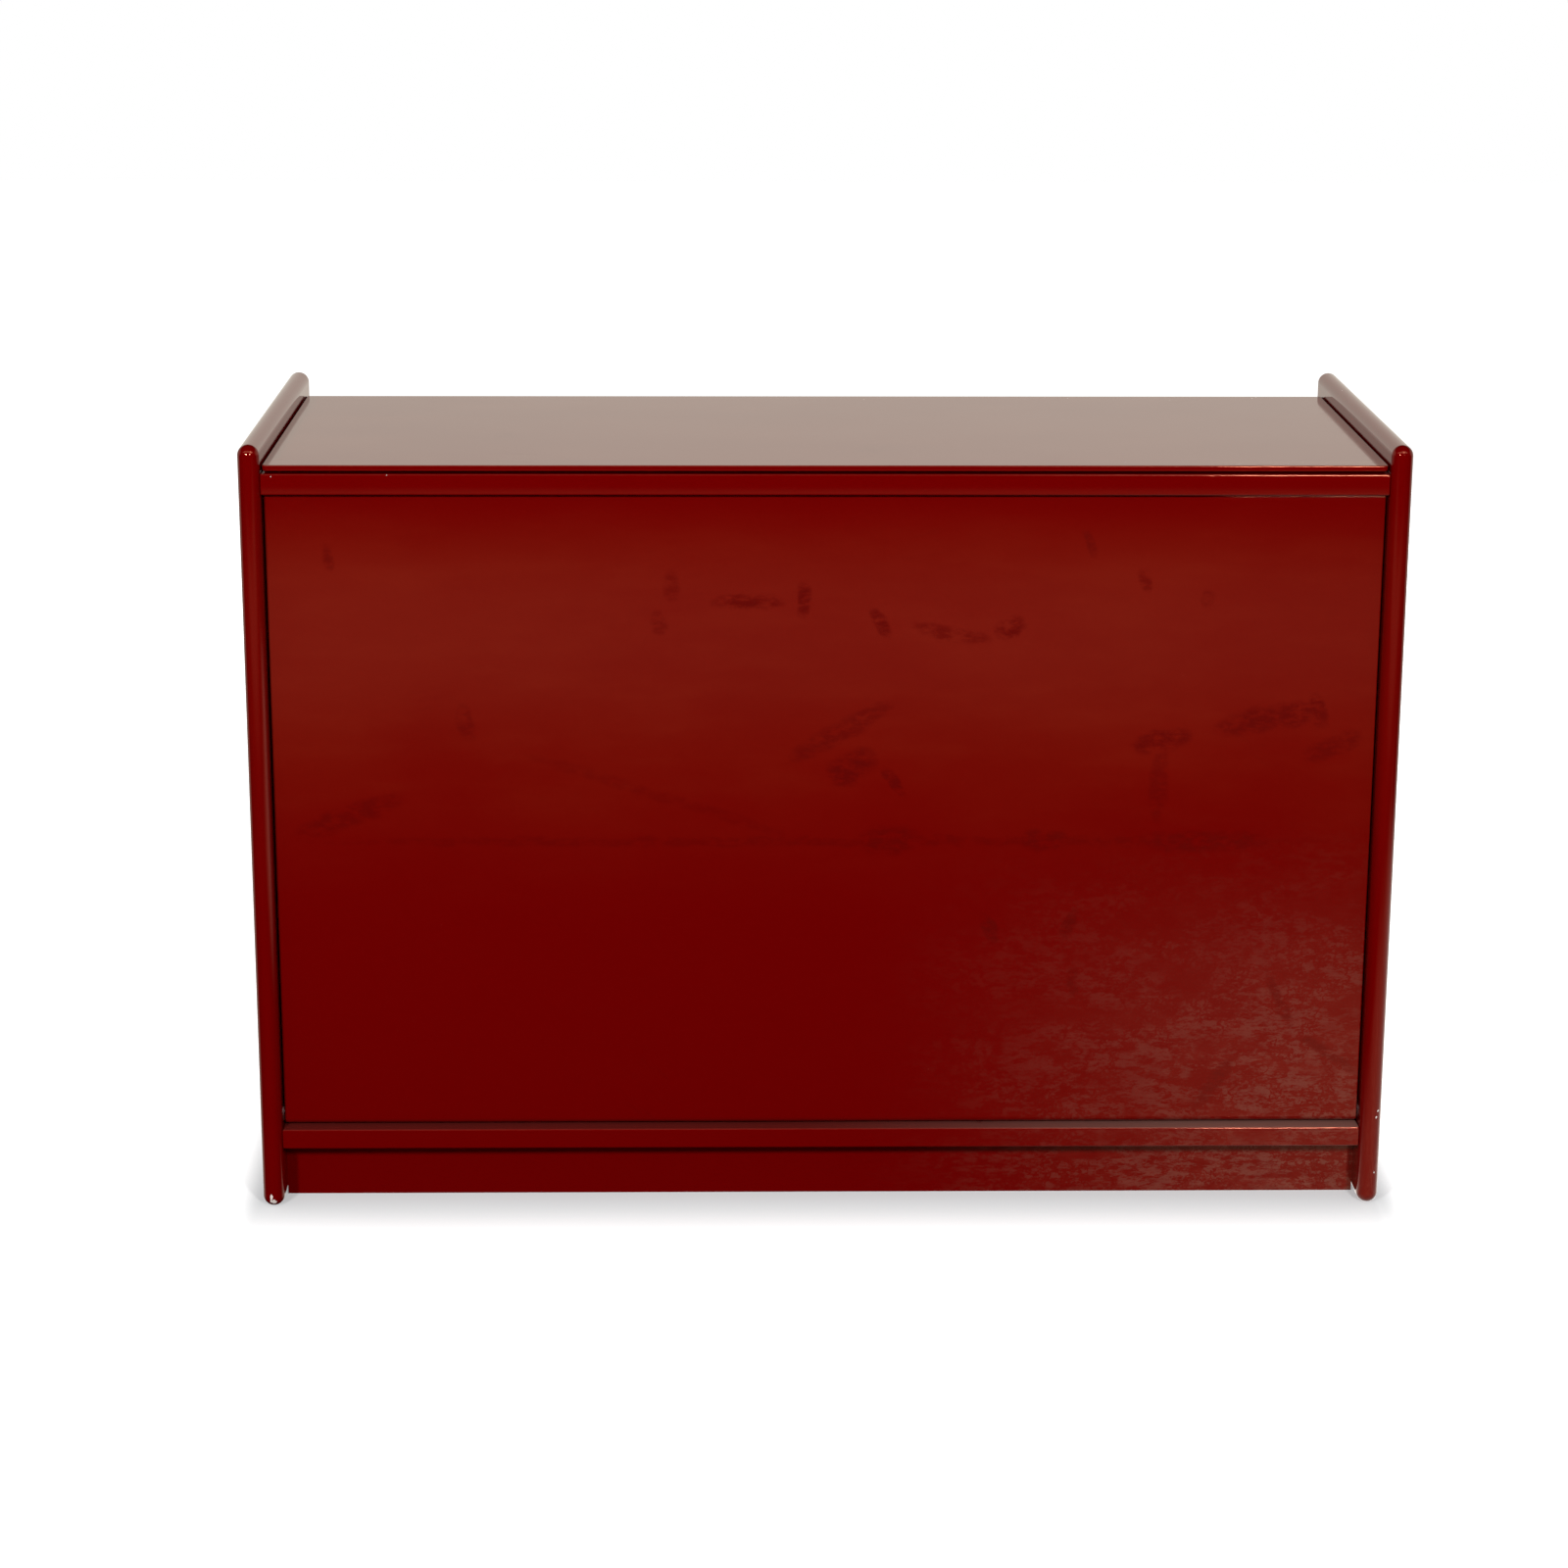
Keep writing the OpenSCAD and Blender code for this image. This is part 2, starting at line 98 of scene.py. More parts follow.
class Graph:
    """A shader node tree, with short calls that add nodes and join them."""

    def __init__(self, tree: bpy.types.NodeTree) -> None:
        """Keeps the tree that the calls add to."""
        self.tree = tree

    def feed(self, socket: bpy.types.NodeSocket, value: object) -> None:
        """Links a socket to another one, or sets its value.

        Args:
            socket: the input to fill.
            value: an output socket, a number, a vector or a colour.
        """
        if isinstance(value, bpy.types.NodeSocket):
            self.tree.links.new(value, socket)
        elif isinstance(value, (tuple, list)) and socket.type == "RGBA":
            socket.default_value = (*value[:3], 1.0)
        else:
            socket.default_value = value

    def add(self, kind: str, inputs: dict | None = None, **settings: object) -> bpy.types.Node:
        """Adds a node.

        Args:
            kind: the node's type name.
            inputs: input name or index, and what it takes.
            settings: properties of the node.

        Returns:
            The new node.
        """
        node = self.tree.nodes.new(kind)
        for name, value in settings.items():
            setattr(node, name, value)
        return self.fill(node, inputs or {})

    def fill(self, node: bpy.types.Node, inputs: dict) -> bpy.types.Node:
        """Feeds inputs of a node, each by its name or index, and returns the node."""
        for key, value in inputs.items():
            self.feed(node.inputs[key], value)
        return node

    def math(self, operation: str, a: object, b: object = 0.0) -> bpy.types.NodeSocket:
        """Returns an operation on one or two values."""
        return self.add("ShaderNodeMath", {0: a, 1: b}, operation=operation).outputs[0]

    def plus(self, total: object, *more: object) -> bpy.types.NodeSocket:
        """Returns a sum, added up in order."""
        for value in more:
            total = self.math("ADD", total, value)
        return total

    def times(self, total: object, *more: object) -> bpy.types.NodeSocket:
        """Returns a product, multiplied out in order."""
        for value in more:
            total = self.math("MULTIPLY", total, value)
        return total

    def off_half(self, value: object) -> bpy.types.NodeSocket:
        """Returns how far a value is from a half: near 0 along thin veins of a noise."""
        return self.math("ABSOLUTE", self.math("SUBTRACT", value, 0.5))

    def axes(self, vector: object) -> bpy.types.NodeOutputs:
        """Returns the three parts of a vector."""
        return self.add("ShaderNodeSeparateXYZ", {0: vector}).outputs

    def place(self) -> bpy.types.NodeSocket:
        """Returns the place on the object, in the object's own axes."""
        return self.add("ShaderNodeTexCoord").outputs["Object"]

    def bump(self, height: object, strength: float, distance: float) -> bpy.types.NodeSocket:
        """Returns the normal of a surface with a fine relief."""
        return self.add("ShaderNodeBump", {"Height": height, "Strength": strength,
                                           "Distance": distance}).outputs[0]

    def vector(self, operation: str, a: object, b: object = (0, 0, 0)) -> bpy.types.NodeSocket:
        """Returns an operation on two vectors."""
        return self.add("ShaderNodeVectorMath", {0: a, 1: b}, operation=operation).outputs[0]

    def ramp(self, value: object, low: object, high: object,
             start: object = 0.0, end: object = 1.0) -> bpy.types.NodeSocket:
        """Returns a smooth step of a value.

        Args:
            value: what is stepped.
            low: the value at which the step starts.
            high: the value at which it ends.
            start: the result up to low.
            end: the result from high on.

        Returns:
            The stepped value.
        """
        return self.add("ShaderNodeMapRange", {0: value, 1: low, 2: high, 3: start, 4: end},
                        interpolation_type="SMOOTHSTEP").outputs[0]

    def noise(self, vector: object, scale: object, detail: float = 3.0,
              roughness: float = 0.55) -> bpy.types.NodeSocket:
        """Returns a cloudy value from 0 to 1."""
        return self.add("ShaderNodeTexNoise", {"Vector": vector, "Scale": scale,
                        "Detail": detail, "Roughness": roughness}).outputs[0]

    def blend(self, factor: object, a: object, b: object) -> bpy.types.NodeSocket:
        """Returns colour a where the factor is 0, and colour b where it is 1."""
        return self.add("ShaderNodeMix", {0: factor, 6: a, 7: b}, data_type="RGBA").outputs[2]

    def group(self, tree: bpy.types.NodeTree, inputs: dict) -> bpy.types.NodeSocket:
        """Places a node group with its own values, and returns its first output."""
        return self.add("ShaderNodeGroup", inputs, node_tree=tree).outputs[0]


class Effects:
    """Node groups that the finishes share. Each puts out one mask or height."""

    def __init__(self) -> None:
        """Builds every group once."""
        self.clouds = self._clouds()
        self.stroke = self._stroke()
        self.scratches = self._scratches()
        self.specks = self._specks()
        self.orange_peel = self._orange_peel()
        self.chip = self._chip()
        self.arris_wear = self._arris_wear()
        self.grain = self._grain()

    @staticmethod
    def _open(name: str, inputs: dict[str, tuple[str, object]], output: str) -> tuple:
        """Starts a group.

        Args:
            name: the group's name.
            inputs: input name, then its kind and default.
            output: name of the group's one output.

        Returns:
            The group's graph, its input node and its output socket.
        """
        tree = bpy.data.node_groups.new(name, "ShaderNodeTree")
        for key, (kind, default) in inputs.items():
            socket = tree.interface.new_socket(key, in_out="INPUT", socket_type=f"NodeSocket{kind}")
            if default is not None:
                socket.default_value = default
        tree.interface.new_socket(output, in_out="OUTPUT", socket_type="NodeSocketFloat")
        graph = Graph(tree)
        source = graph.add("NodeGroupInput")
        sink = graph.add("NodeGroupOutput")
        return graph, source.outputs, sink.inputs[0]

    def _clouds(self) -> bpy.types.NodeTree:
        """Soft patches, drawn out along any axis."""
        g, i, out = self._open("haze clouds", {
            "Vector": ("Vector", None), "Stretch": ("Vector", (1, 1, 1)), "Scale": ("Float", 4.0),
            "Low": ("Float", 0.4), "High": ("Float", 0.6)}, "Mask")
        cloud = g.noise(g.vector("MULTIPLY", i["Vector"], i["Stretch"]), i["Scale"], 5.0, 0.6)
        g.feed(out, g.ramp(cloud, i["Low"], i["High"]))
        return g.tree

    def _stroke(self) -> bpy.types.NodeTree:
        """One smear of a hand or cloth on an upright panel: soft, uneven, with a torn edge."""
        g, i, out = self._open("hand smear", {
            "Vector": ("Vector", None), "Wobble": ("Vector", (0, 0, 0)),
            "Centre": ("Vector", (0, 0, 0)), "Angle": ("Float", 0.0), "Length": ("Float", 0.05),
            "Width": ("Float", 0.004), "Break": ("Float", 0.5)}, "Mask")
        away = g.vector("SUBTRACT", g.vector("ADD", i["Vector"], i["Wobble"]), i["Centre"])
        turned = g.add("ShaderNodeVectorRotate", {"Vector": away, "Angle": i["Angle"]},
                       rotation_type="Y_AXIS").outputs[0]
        axes = g.axes(turned)
        along = g.math("POWER", g.math("DIVIDE", g.math("ABSOLUTE", axes[0]), i["Length"]), 3.0)
        across = g.math("POWER", g.math("DIVIDE", g.math("ABSOLUTE", axes[2]), i["Width"]), 2.0)
        soft = g.ramp(g.plus(along, across), 1.0, 0.1)
        g.feed(out, g.times(soft, i["Break"]))
        return g.tree

    def _scratches(self) -> bpy.types.NodeTree:
        """Hair scratches in one direction, in broken lengths."""
        g, i, out = self._open("hair scratches", {
            "Vector": ("Vector", None), "Turn": ("Vector", (0, 0, 0)), "Scale": ("Float", 6.0),
            "Fineness": ("Float", 90.0), "Amount": ("Float", 0.5)}, "Mask")
        turned = g.add("ShaderNodeVectorRotate", {"Vector": i["Vector"], "Rotation": i["Turn"]},
                       rotation_type="EULER_XYZ").outputs[0]
        stretch = g.add("ShaderNodeCombineXYZ", {0: i["Scale"], 1: i["Fineness"], 2: i["Fineness"]})
        line = g.noise(g.vector("MULTIPLY", turned, stretch.outputs[0]), 1.0, 2.0, 0.5)
        thin = g.ramp(g.off_half(line), 0.012, 0.002)
        patch = g.noise(i["Vector"], g.times(i["Scale"], 1.7), 2.0, 0.5)
        kept = g.ramp(patch, g.math("SUBTRACT", 0.75, g.times(i["Amount"], 0.4)), 0.85)
        g.feed(out, g.times(thin, kept))
        return g.tree

    def _specks(self) -> bpy.types.NodeTree:
        """Dust specks, each round and of its own size."""
        g, i, out = self._open("dust specks", {
            "Vector": ("Vector", None), "Scale": ("Float", 160.0), "Size": ("Float", 0.2),
            "Share": ("Float", 0.1)}, "Mask")
        cells = g.add("ShaderNodeTexVoronoi", {"Vector": i["Vector"], "Scale": i["Scale"]})
        channels = g.add("ShaderNodeSeparateColor", {0: cells.outputs["Color"]}).outputs
        chosen = g.math("LESS_THAN", channels[0], i["Share"])
        size = g.times(i["Size"], channels[1])
        dot = g.ramp(cells.outputs["Distance"], size, g.times(size, 0.5))
        g.feed(out, g.times(dot, chosen))
        return g.tree

    def _orange_peel(self) -> bpy.types.NodeTree:
        """Height of sprayed lacquer: a slow flow and a fine peel."""
        g, i, out = self._open("orange peel", {
            "Vector": ("Vector", None), "Scale": ("Float", 240.0),
            "Flow": ("Float", 9.0)}, "Height")
        fine = g.noise(i["Vector"], i["Scale"], 1.5, 0.4)
        slow = g.noise(i["Vector"], i["Flow"], 1.0, 0.4)
        g.feed(out, g.plus(g.times(fine, 0.05), slow))
        return g.tree

    def _chip(self) -> bpy.types.NodeTree:
        """A chip with a ragged edge."""
        g, i, out = self._open("chip", {
            "Vector": ("Vector", None), "Centre": ("Vector", (0, 0, 0)),
            "Size": ("Vector", (0.004, 0.004, 0.004))}, "Mask")
        away = g.vector("DIVIDE", g.vector("SUBTRACT", i["Vector"], i["Centre"]), i["Size"])
        length = g.add("ShaderNodeVectorMath", {0: away}, operation="LENGTH").outputs["Value"]
        ragged = g.plus(length, g.times(g.noise(i["Vector"], 420.0, 3.0, 0.7), 1.4))
        g.feed(out, g.ramp(ragged, 1.52, 1.44))
        return g.tree

    def _arris_wear(self) -> bpy.types.NodeTree:
        """Rubbed places along the arrises, where the arris attribute is 1."""
        g, i, out = self._open("arris wear", {
            "Vector": ("Vector", None), "Arris": ("Float", 0.0), "Amount": ("Float", 0.4)}, "Mask")
        patch = g.noise(i["Vector"], 34.0, 4.0, 0.7)
        worn = g.ramp(patch, g.math("SUBTRACT", 0.78, g.times(i["Amount"], 0.3)), 0.8)
        g.feed(out, g.times(worn, i["Arris"]))
        return g.tree

    def _grain(self) -> bpy.types.NodeTree:
        """Straight grain of wood, or brush lines of metal, along x."""
        g, i, out = self._open("straight grain", {
            "Vector": ("Vector", None), "Along": ("Float", 6.0), "Across": ("Float", 300.0),
            "Twist": ("Float", 0.02)}, "Mask")
        drift = g.vector("SCALE", g.add("ShaderNodeTexNoise", {"Vector": i["Vector"],
                         "Scale": 14.0}).outputs["Color"])
        g.feed(drift.node.inputs["Scale"], i["Twist"])
        stretch = g.add("ShaderNodeCombineXYZ", {0: i["Along"], 1: i["Across"], 2: i["Across"]})
        bent = g.vector("MULTIPLY", g.vector("ADD", i["Vector"], drift), stretch.outputs[0])
        g.feed(out, g.noise(bent, 1.0, 4.0, 0.65))
        return g.tree


# ---------------------------------------------------------------- finishes


@dataclass(frozen=True)
class Smear:
    """One smear or scuff on an upright panel, in millimetres."""

    x: float
    z: float
    length: float
    width: float
    angle: float = 0.0
    strength: float = 0.6


@dataclass(frozen=True)
class Chip:
    """A chip down to the primer, in millimetres."""

    x: float
    y: float
    z: float
    wide: float = 3.0
    tall: float = 3.0


@dataclass(frozen=True)
class Lacquer:
    """Sprayed red lacquer with the grease, smears, scratches and chips of use, and paler overlays
    that are partly painted light: a painted reflection over a middle band, a painted sheen on the
    lid's top face, and a painted sheen over the scuff streaks at the lower right.
    """

    name: str
    # share of the paler overlay: hand grease with a painted reflection; on the lid, a painted sheen
    haze: float = 0.4
    stretch: tuple[float, float, float] = (1.0, 1.0, 1.6)
    gloss: float = 0.055
    # colour of the paler overlay
    overlay_tone: Tone = Tone.HAZE_RED
    scratches: float = 0.4
    # amount of the paler streaks at the lower right: scuff marks with a painted sheen
    scuffs_and_sheen: float = 0.0
    # top of the paler strip on the bottom board's edge, and how deep it reaches: dust with a
    # painted reflection, brighter to the right; 0 for none
    ledge_lint_and_sheen_top: float = 0.0
    ledge_lint_and_sheen_depth: float = 0.6 * MM
    # heights between which the lid's top face takes the painted sheen
    top_face_sheen: tuple[float, float] = (0.7098, 0.7108)
    smear_spread: float = 2.5
    smear_gain: float = 1.5
    wear: float = 0.2
    turns: tuple[tuple[float, float, float], ...] = ((0.0, 0.25, 0.0), (0.0, -0.7, 0.0))
    smears: tuple[Smear, ...] = ()
    chips: tuple[Chip, ...] = ()

    def make(self, effects: Effects) -> bpy.types.Material:
        """Builds the material.

        Args:
            effects: the shared node groups.

        Returns:
            The finished material.
        """
        mat, g, shader = open_material(self.name)
        place = g.place()
        arris = g.add("ShaderNodeAttribute", attribute_name="arris").outputs["Fac"]
        haze = g.group(effects.clouds, {"Vector": place, "Stretch": self.stretch, "Scale": 3.2,
                                        "Low": 0.36, "High": 0.66})
        streaks = g.group(effects.clouds, {
            "Vector": place, "Scale": 9.0, "Low": 0.42, "High": 0.7,
            "Stretch": (*self.stretch[:2], self.stretch[2] * 3)})
        # paler overlay in patches and streaks over a band by height: hand grease with a painted
        # reflection
        haze_and_reflection_share = g.plus(g.times(haze, 0.35), g.times(streaks, 0.2), 0.45)
        haze_and_reflection_share = g.times(haze_and_reflection_share, self.haze, self.band(g, place))
        smeared = self.smear_mask(g, effects, place)
        hair = self.scratch_mask(g, effects, place)
        specks = g.group(effects.specks, {"Vector": place, "Scale": 70.0, "Size": 0.05,
                                          "Share": 0.05})
        worn = g.group(effects.arris_wear, {"Vector": place, "Arris": arris, "Amount": self.wear})
        colour = g.blend(haze_and_reflection_share, Tone.DEEP_RED.value, self.overlay_tone.value)
        # scuff marks at the lower right, made paler there by a painted sheen
        if self.scuffs_and_sheen:
            colour = g.blend(self.scuff_and_sheen_mask(g, place), colour, Tone.SCUFFED_RED.value)
        # paler top edge strip, growing to the right: dust with a painted reflection
        if self.ledge_lint_and_sheen_top:
            axes = g.axes(place)
            pale_mask = g.times(g.ramp(axes[2], self.ledge_lint_and_sheen_top - self.ledge_lint_and_sheen_depth, self.ledge_lint_and_sheen_top),
                            g.ramp(axes[0], -0.05, 0.42, 0.12, 1.0))
            colour = g.blend(pale_mask, colour, Tone.LINT_RED.value)
        colour = g.blend(smeared, colour, Tone.SMEAR_RED.value)
        colour = g.blend(g.times(hair, 0.35), colour, Tone.SMEAR_RED.value)
        colour = g.blend(g.times(worn, 0.5), colour, Tone.RUBBED_RED.value)
        colour = g.blend(g.times(specks, 0.35), colour, Tone.RUBBED_RED.value)
        rough = g.plus(self.gloss, g.times(smeared, 0.16), g.times(streaks, 0.02),
                       g.times(g.math("MAXIMUM", hair, worn), 0.15))
        height = g.group(effects.orange_peel, {"Vector": place})
        height = g.math("SUBTRACT", height, g.times(hair, 0.06))
        if self.chips:
            chipped = self.chip_mask(g, effects, place)
            colour = g.blend(chipped, colour, Tone.PRIMER.value)
            rough = g.plus(rough, g.times(chipped, 0.4))
            height = g.math("SUBTRACT", height, g.times(chipped, 0.8))
        g.fill(shader, {"Base Color": colour, "Roughness": rough, "IOR": 1.5,
                        "Normal": g.bump(height, 0.35, 0.4 * MM),
                        "Specular Tint": (1.0, 0.34, 0.21)})
        return mat

    def band(self, g: Graph, place: bpy.types.NodeSocket) -> object:
        """Returns the share of the overlay by height: a band from 0.26 to 0.70 m, hand grease with
        a painted reflection of the floor over it; on the lid only its top face, a painted sheen.
        """
        height = g.axes(place)[2]
        if self.overlay_tone is Tone.DUSTY_RED:
            return g.ramp(height, *self.top_face_sheen)
        return g.times(g.ramp(height, 0.26, 0.50, 0.05, 1.0), g.ramp(height, 0.70, 0.60))

    def scuff_and_sheen_mask(self, g: Graph, place: bpy.types.NodeSocket) -> object:
        """Returns paler dull streaks at the lower right of the front: kick and mop marks, with a
        painted sheen of the floor.
        """
        axes = g.axes(place)
        # paler towards the lower right, where the painted sheen falls
        where = g.times(g.ramp(axes[0], 0.02, 0.50), g.ramp(axes[2], 0.40, 0.05))
        streak = g.vector("MULTIPLY", place, (1.0, 1.0, 2.6))
        fine = g.ramp(g.noise(streak, 62.0, 8.0, 0.80), 0.44, 0.57)
        patch = g.ramp(g.noise(streak, 8.0, 4.0, 0.6), 0.36, 0.56, 0.15, 1.0)
        vein = g.off_half(g.noise(place, 9.0, 8.0, 0.7))
        return g.times(fine, patch, g.ramp(vein, 0.002, 0.022), where, self.scuffs_and_sheen)

    def smear_mask(self, g: Graph, effects: Effects, place: bpy.types.NodeSocket) -> object:
        """Returns the sum of the finish's smears."""
        if not self.smears:
            return g.group(effects.clouds, {"Vector": place, "Scale": 7.0, "Low": 0.62,
                                            "High": 0.8})
        cloud = g.add("ShaderNodeTexNoise", {"Vector": place, "Scale": 45.0, "Detail": 3.0})
        wobble = g.vector("MULTIPLY", g.vector("SUBTRACT", cloud.outputs["Color"], (0.5, 0.5, 0.5)),
                          (0.012, 0.0, 0.012))
        drawn_out = g.vector("MULTIPLY", place, (1.0, 1.0, 2.2))
        torn = g.ramp(g.noise(drawn_out, 70.0, 3.0, 0.65), 0.32, 0.62)
        total = 0.0
        for s in self.smears:
            mask = g.group(effects.stroke, {
                "Vector": place, "Wobble": wobble, "Centre": (s.x * MM, 0.0, s.z * MM),
                "Angle": math.radians(s.angle), "Length": s.length * MM / 2,
                "Width": s.width * self.smear_spread * MM, "Break": torn})
            strength = min(1.0, s.strength * self.smear_gain)
            total = g.math("MAXIMUM", total, g.times(mask, strength))
        return total

    def scratch_mask(self, g: Graph, effects: Effects, place: bpy.types.NodeSocket) -> object:
        """Returns hair scratches in each of the finish's directions."""
        total = 0.0
        for k, turn in enumerate(self.turns):
            mask = g.group(effects.scratches, {
                "Vector": place, "Turn": turn, "Scale": 3.0 + 2.0 * k,
                "Fineness": 110.0 + 40.0 * k, "Amount": self.scratches})
            total = g.math("MAXIMUM", total, mask)
        return total

    def chip_mask(self, g: Graph, effects: Effects, place: bpy.types.NodeSocket) -> object:
        """Returns the finish's chips."""
        total = 0.0
        for c in self.chips:
            mask = g.group(effects.chip, {"Vector": place, "Centre": (c.x * MM, c.y * MM, c.z * MM),
                                          "Size": (c.wide * MM, 5 * MM, c.tall * MM)})
            total = g.math("MAXIMUM", total, mask)
        return total


@dataclass(frozen=True)
class Satin:
    """Brushed or rolled satin paint of the inside and back."""

    name: str = "satin red"
    colour: Colour = Tone.SATIN_RED.value
    rough: float = 0.42

    def make(self, effects: Effects) -> bpy.types.Material:
        """Builds the material from the shared groups."""
        mat, g, shader = open_material(self.name)
        place = g.place()
        pale_mask = g.group(effects.clouds, {"Vector": place, "Scale": 5.0, "Low": 0.35, "High": 0.75})
        brushed = g.group(effects.grain, {"Vector": place, "Along": 12.0, "Across": 420.0})
        specks = g.group(effects.specks, {"Vector": place, "Scale": 130.0, "Size": 0.22,
                                          "Share": 0.2})
        colour = g.blend(g.times(pale_mask, 0.6), self.colour, (0.19, 0.014, 0.011))
        colour = g.blend(g.times(specks, 0.5), colour, (0.30, 0.10, 0.08))
        g.fill(shader, {"Base Color": colour, "Roughness": g.plus(self.rough, g.times(pale_mask, 0.16)),
                        "Normal": g.bump(brushed, 0.25, 0.3 * MM),
                        "Specular Tint": (1.0, 0.42, 0.30)})
        return mat


@dataclass(frozen=True)
class Metal:
    """Plated or turned metal, with brush lines, dull patches and small stains."""

    name: str
    bright: Colour
    dull: Colour
    rough: float = 0.28
    across: float = 900.0

    def make(self, effects: Effects) -> bpy.types.Material:
        """Builds the material from the shared groups."""
        mat, g, shader = open_material(self.name)
        place = g.place()
        lines = g.group(effects.grain, {"Vector": place, "Along": 60.0, "Across": self.across})
        stain = g.group(effects.clouds, {"Vector": place, "Scale": 90.0, "Low": 0.45, "High": 0.7})
        rough = g.plus(self.rough, g.times(g.plus(lines, stain), 0.14))
        g.fill(shader, {"Base Color": g.blend(stain, self.bright, self.dull), "Roughness": rough,
                        "Normal": g.bump(lines, 0.2, 0.1 * MM), "Metallic": 1.0})
        return mat


@dataclass(frozen=True)
class Plastic:
    """Moulded plastic with a fine spark texture and handling marks."""

    name: str
    colour: Colour
    grubby: Colour
    rough: float = 0.4

    def make(self, effects: Effects) -> bpy.types.Material:
        """Builds the material from the shared groups."""
        mat, g, shader = open_material(self.name)
        place = g.place()
        grime = g.group(effects.clouds, {"Vector": place, "Scale": 120.0, "Low": 0.45, "High": 0.8})
        spark = g.noise(place, 2200.0, 2.0, 0.5)
        g.fill(shader, {"Base Color": g.blend(grime, self.colour, self.grubby),
                        "Roughness": g.plus(self.rough, g.times(grime, 0.15)),
                        "Normal": g.bump(spark, 0.3, 0.1 * MM)})
        return mat


@dataclass(frozen=True)
class Felt:
    """Pressed wool felt of the buffers."""

    name: str = "grey felt"

    def make(self, effects: Effects) -> bpy.types.Material:
        """Builds the material from the shared groups."""
        mat, g, shader = open_material(self.name)
        place = g.place()
        fibre = g.group(effects.scratches, {"Vector": place, "Scale": 300.0, "Fineness": 2600.0,
                                            "Amount": 1.0})
        fluff = g.noise(place, 1500.0, 4.0, 0.7)
        colour = g.blend(fluff, (0.10, 0.10, 0.095), (0.22, 0.215, 0.20))
        g.fill(shader, {"Base Color": g.blend(fibre, colour, (0.36, 0.35, 0.33)),
                        "Roughness": 0.95, "Sheen Weight": 0.3,
                        "Normal": g.bump(fluff, 0.8, 0.4 * MM)})
        return mat


@dataclass(frozen=True)
class Beech:
    """Unfinished beech of the dowels and plinth blocks, with flecks."""

    name: str = "raw beech"

    def make(self, effects: Effects) -> bpy.types.Material:
        """Builds the material from the shared groups."""
        mat, g, shader = open_material(self.name)
        place = g.place()
        grain = g.group(effects.grain, {"Vector": place, "Along": 8.0, "Across": 260.0})
        fleck = g.group(effects.scratches, {"Vector": place, "Scale": 90.0, "Fineness": 700.0,
                                            "Amount": 0.9})
        colour = g.blend(g.ramp(grain, 0.35, 0.7), (0.60, 0.40, 0.22), (0.42, 0.25, 0.12))
        flecked = g.blend(g.times(fleck, 0.5), colour, (0.27, 0.13, 0.06))
        g.fill(shader, {"Base Color": flecked, "Roughness": 0.62,
                        "Normal": g.bump(grain, 0.4, 0.3 * MM)})
        return mat


def open_material(name: str) -> tuple[bpy.types.Material, Graph, bpy.types.Node]:
    """Starts a material.

    Args:
        name: the finish's name.

    Returns:
        The material, its graph and its shader node.
    """
    mat = bpy.data.materials.new(name)
    mat.use_nodes = True
    graph = Graph(mat.node_tree)
    return mat, graph, mat.node_tree.nodes["Principled BSDF"]


def put(name: str, data: bpy.types.ID) -> bpy.types.Object:
    """Makes an object of a mesh, lamp or camera and adds it to the scene."""
    made = bpy.data.objects.new(name, data)
    bpy.context.scene.collection.objects.link(made)
    return made


def put_mesh(bm: bmesh.types.BMesh, name: str, material: bpy.types.Material) -> bpy.types.Object:
    """Makes an object of an edited mesh with its finish, and frees the edited mesh."""
    mesh = bpy.data.meshes.new(name)
    bm.to_mesh(mesh)
    bm.free()
    mesh.materials.append(material)
    return put(name, mesh)


FRONT_SMEARS = (
    Smear(-72, 584, 78, 3.5, 2, 0.75), Smear(-20, 585, 16, 8, 0, 0.7),
    Smear(50, 564, 16, 8, 30, 0.7), Smear(169, 559, 34, 5, 32, 0.9),
    Smear(115, 554, 84, 4, -12, 0.5), Smear(-140, 598, 36, 3.5, 88, 0.4),
    Smear(-152, 564, 26, 3.5, 90, 0.4), Smear(-452, 625, 12, 6, 0, 0.5),
    Smear(240, 639, 12, 6, 20, 0.5), Smear(292, 603, 14, 5, 10, 0.5),
    Smear(350, 587, 20, 3.5, 60, 0.45), Smear(410, 473, 112, 6, 10.5, 1.0),
    Smear(456, 482, 18, 8, 20, 0.9), Smear(312, 452, 66, 5, 11, 0.65),
    Smear(310, 410, 84, 4, 88, 0.4), Smear(471, 447, 66, 5, 21, 0.5),
    Smear(15, 461, 130, 5, 29, 0.5), Smear(25, 427, 56, 7, 30, 1.0),
    Smear(63, 414, 15, 8, 40, 0.85), Smear(-330, 470, 20, 8, 10, 0.45),
    Smear(-440, 381, 120, 5, 19, 0.5), Smear(0, 356, 1060, 2.5, 0, 0.35),
    Smear(205, 357, 56, 5, 2, 0.6), Smear(355, 355, 140, 5, -1, 0.55),
    Smear(60, 357, 64, 7, 3, 0.6), Smear(155, 270, 16, 8, 30, 0.75),
    Smear(230, 275, 16, 8, -20, 0.7), Smear(235, 219, 14, 7, 0, 0.5),
    Smear(430, 199, 70, 2.5, -63, 0.6), Smear(477, 147, 84, 2.5, -35, 0.6),
    Smear(370, 116, 72, 4, 54, 0.55), Smear(-150, 399, 300, 3, -18, 0.25),
)


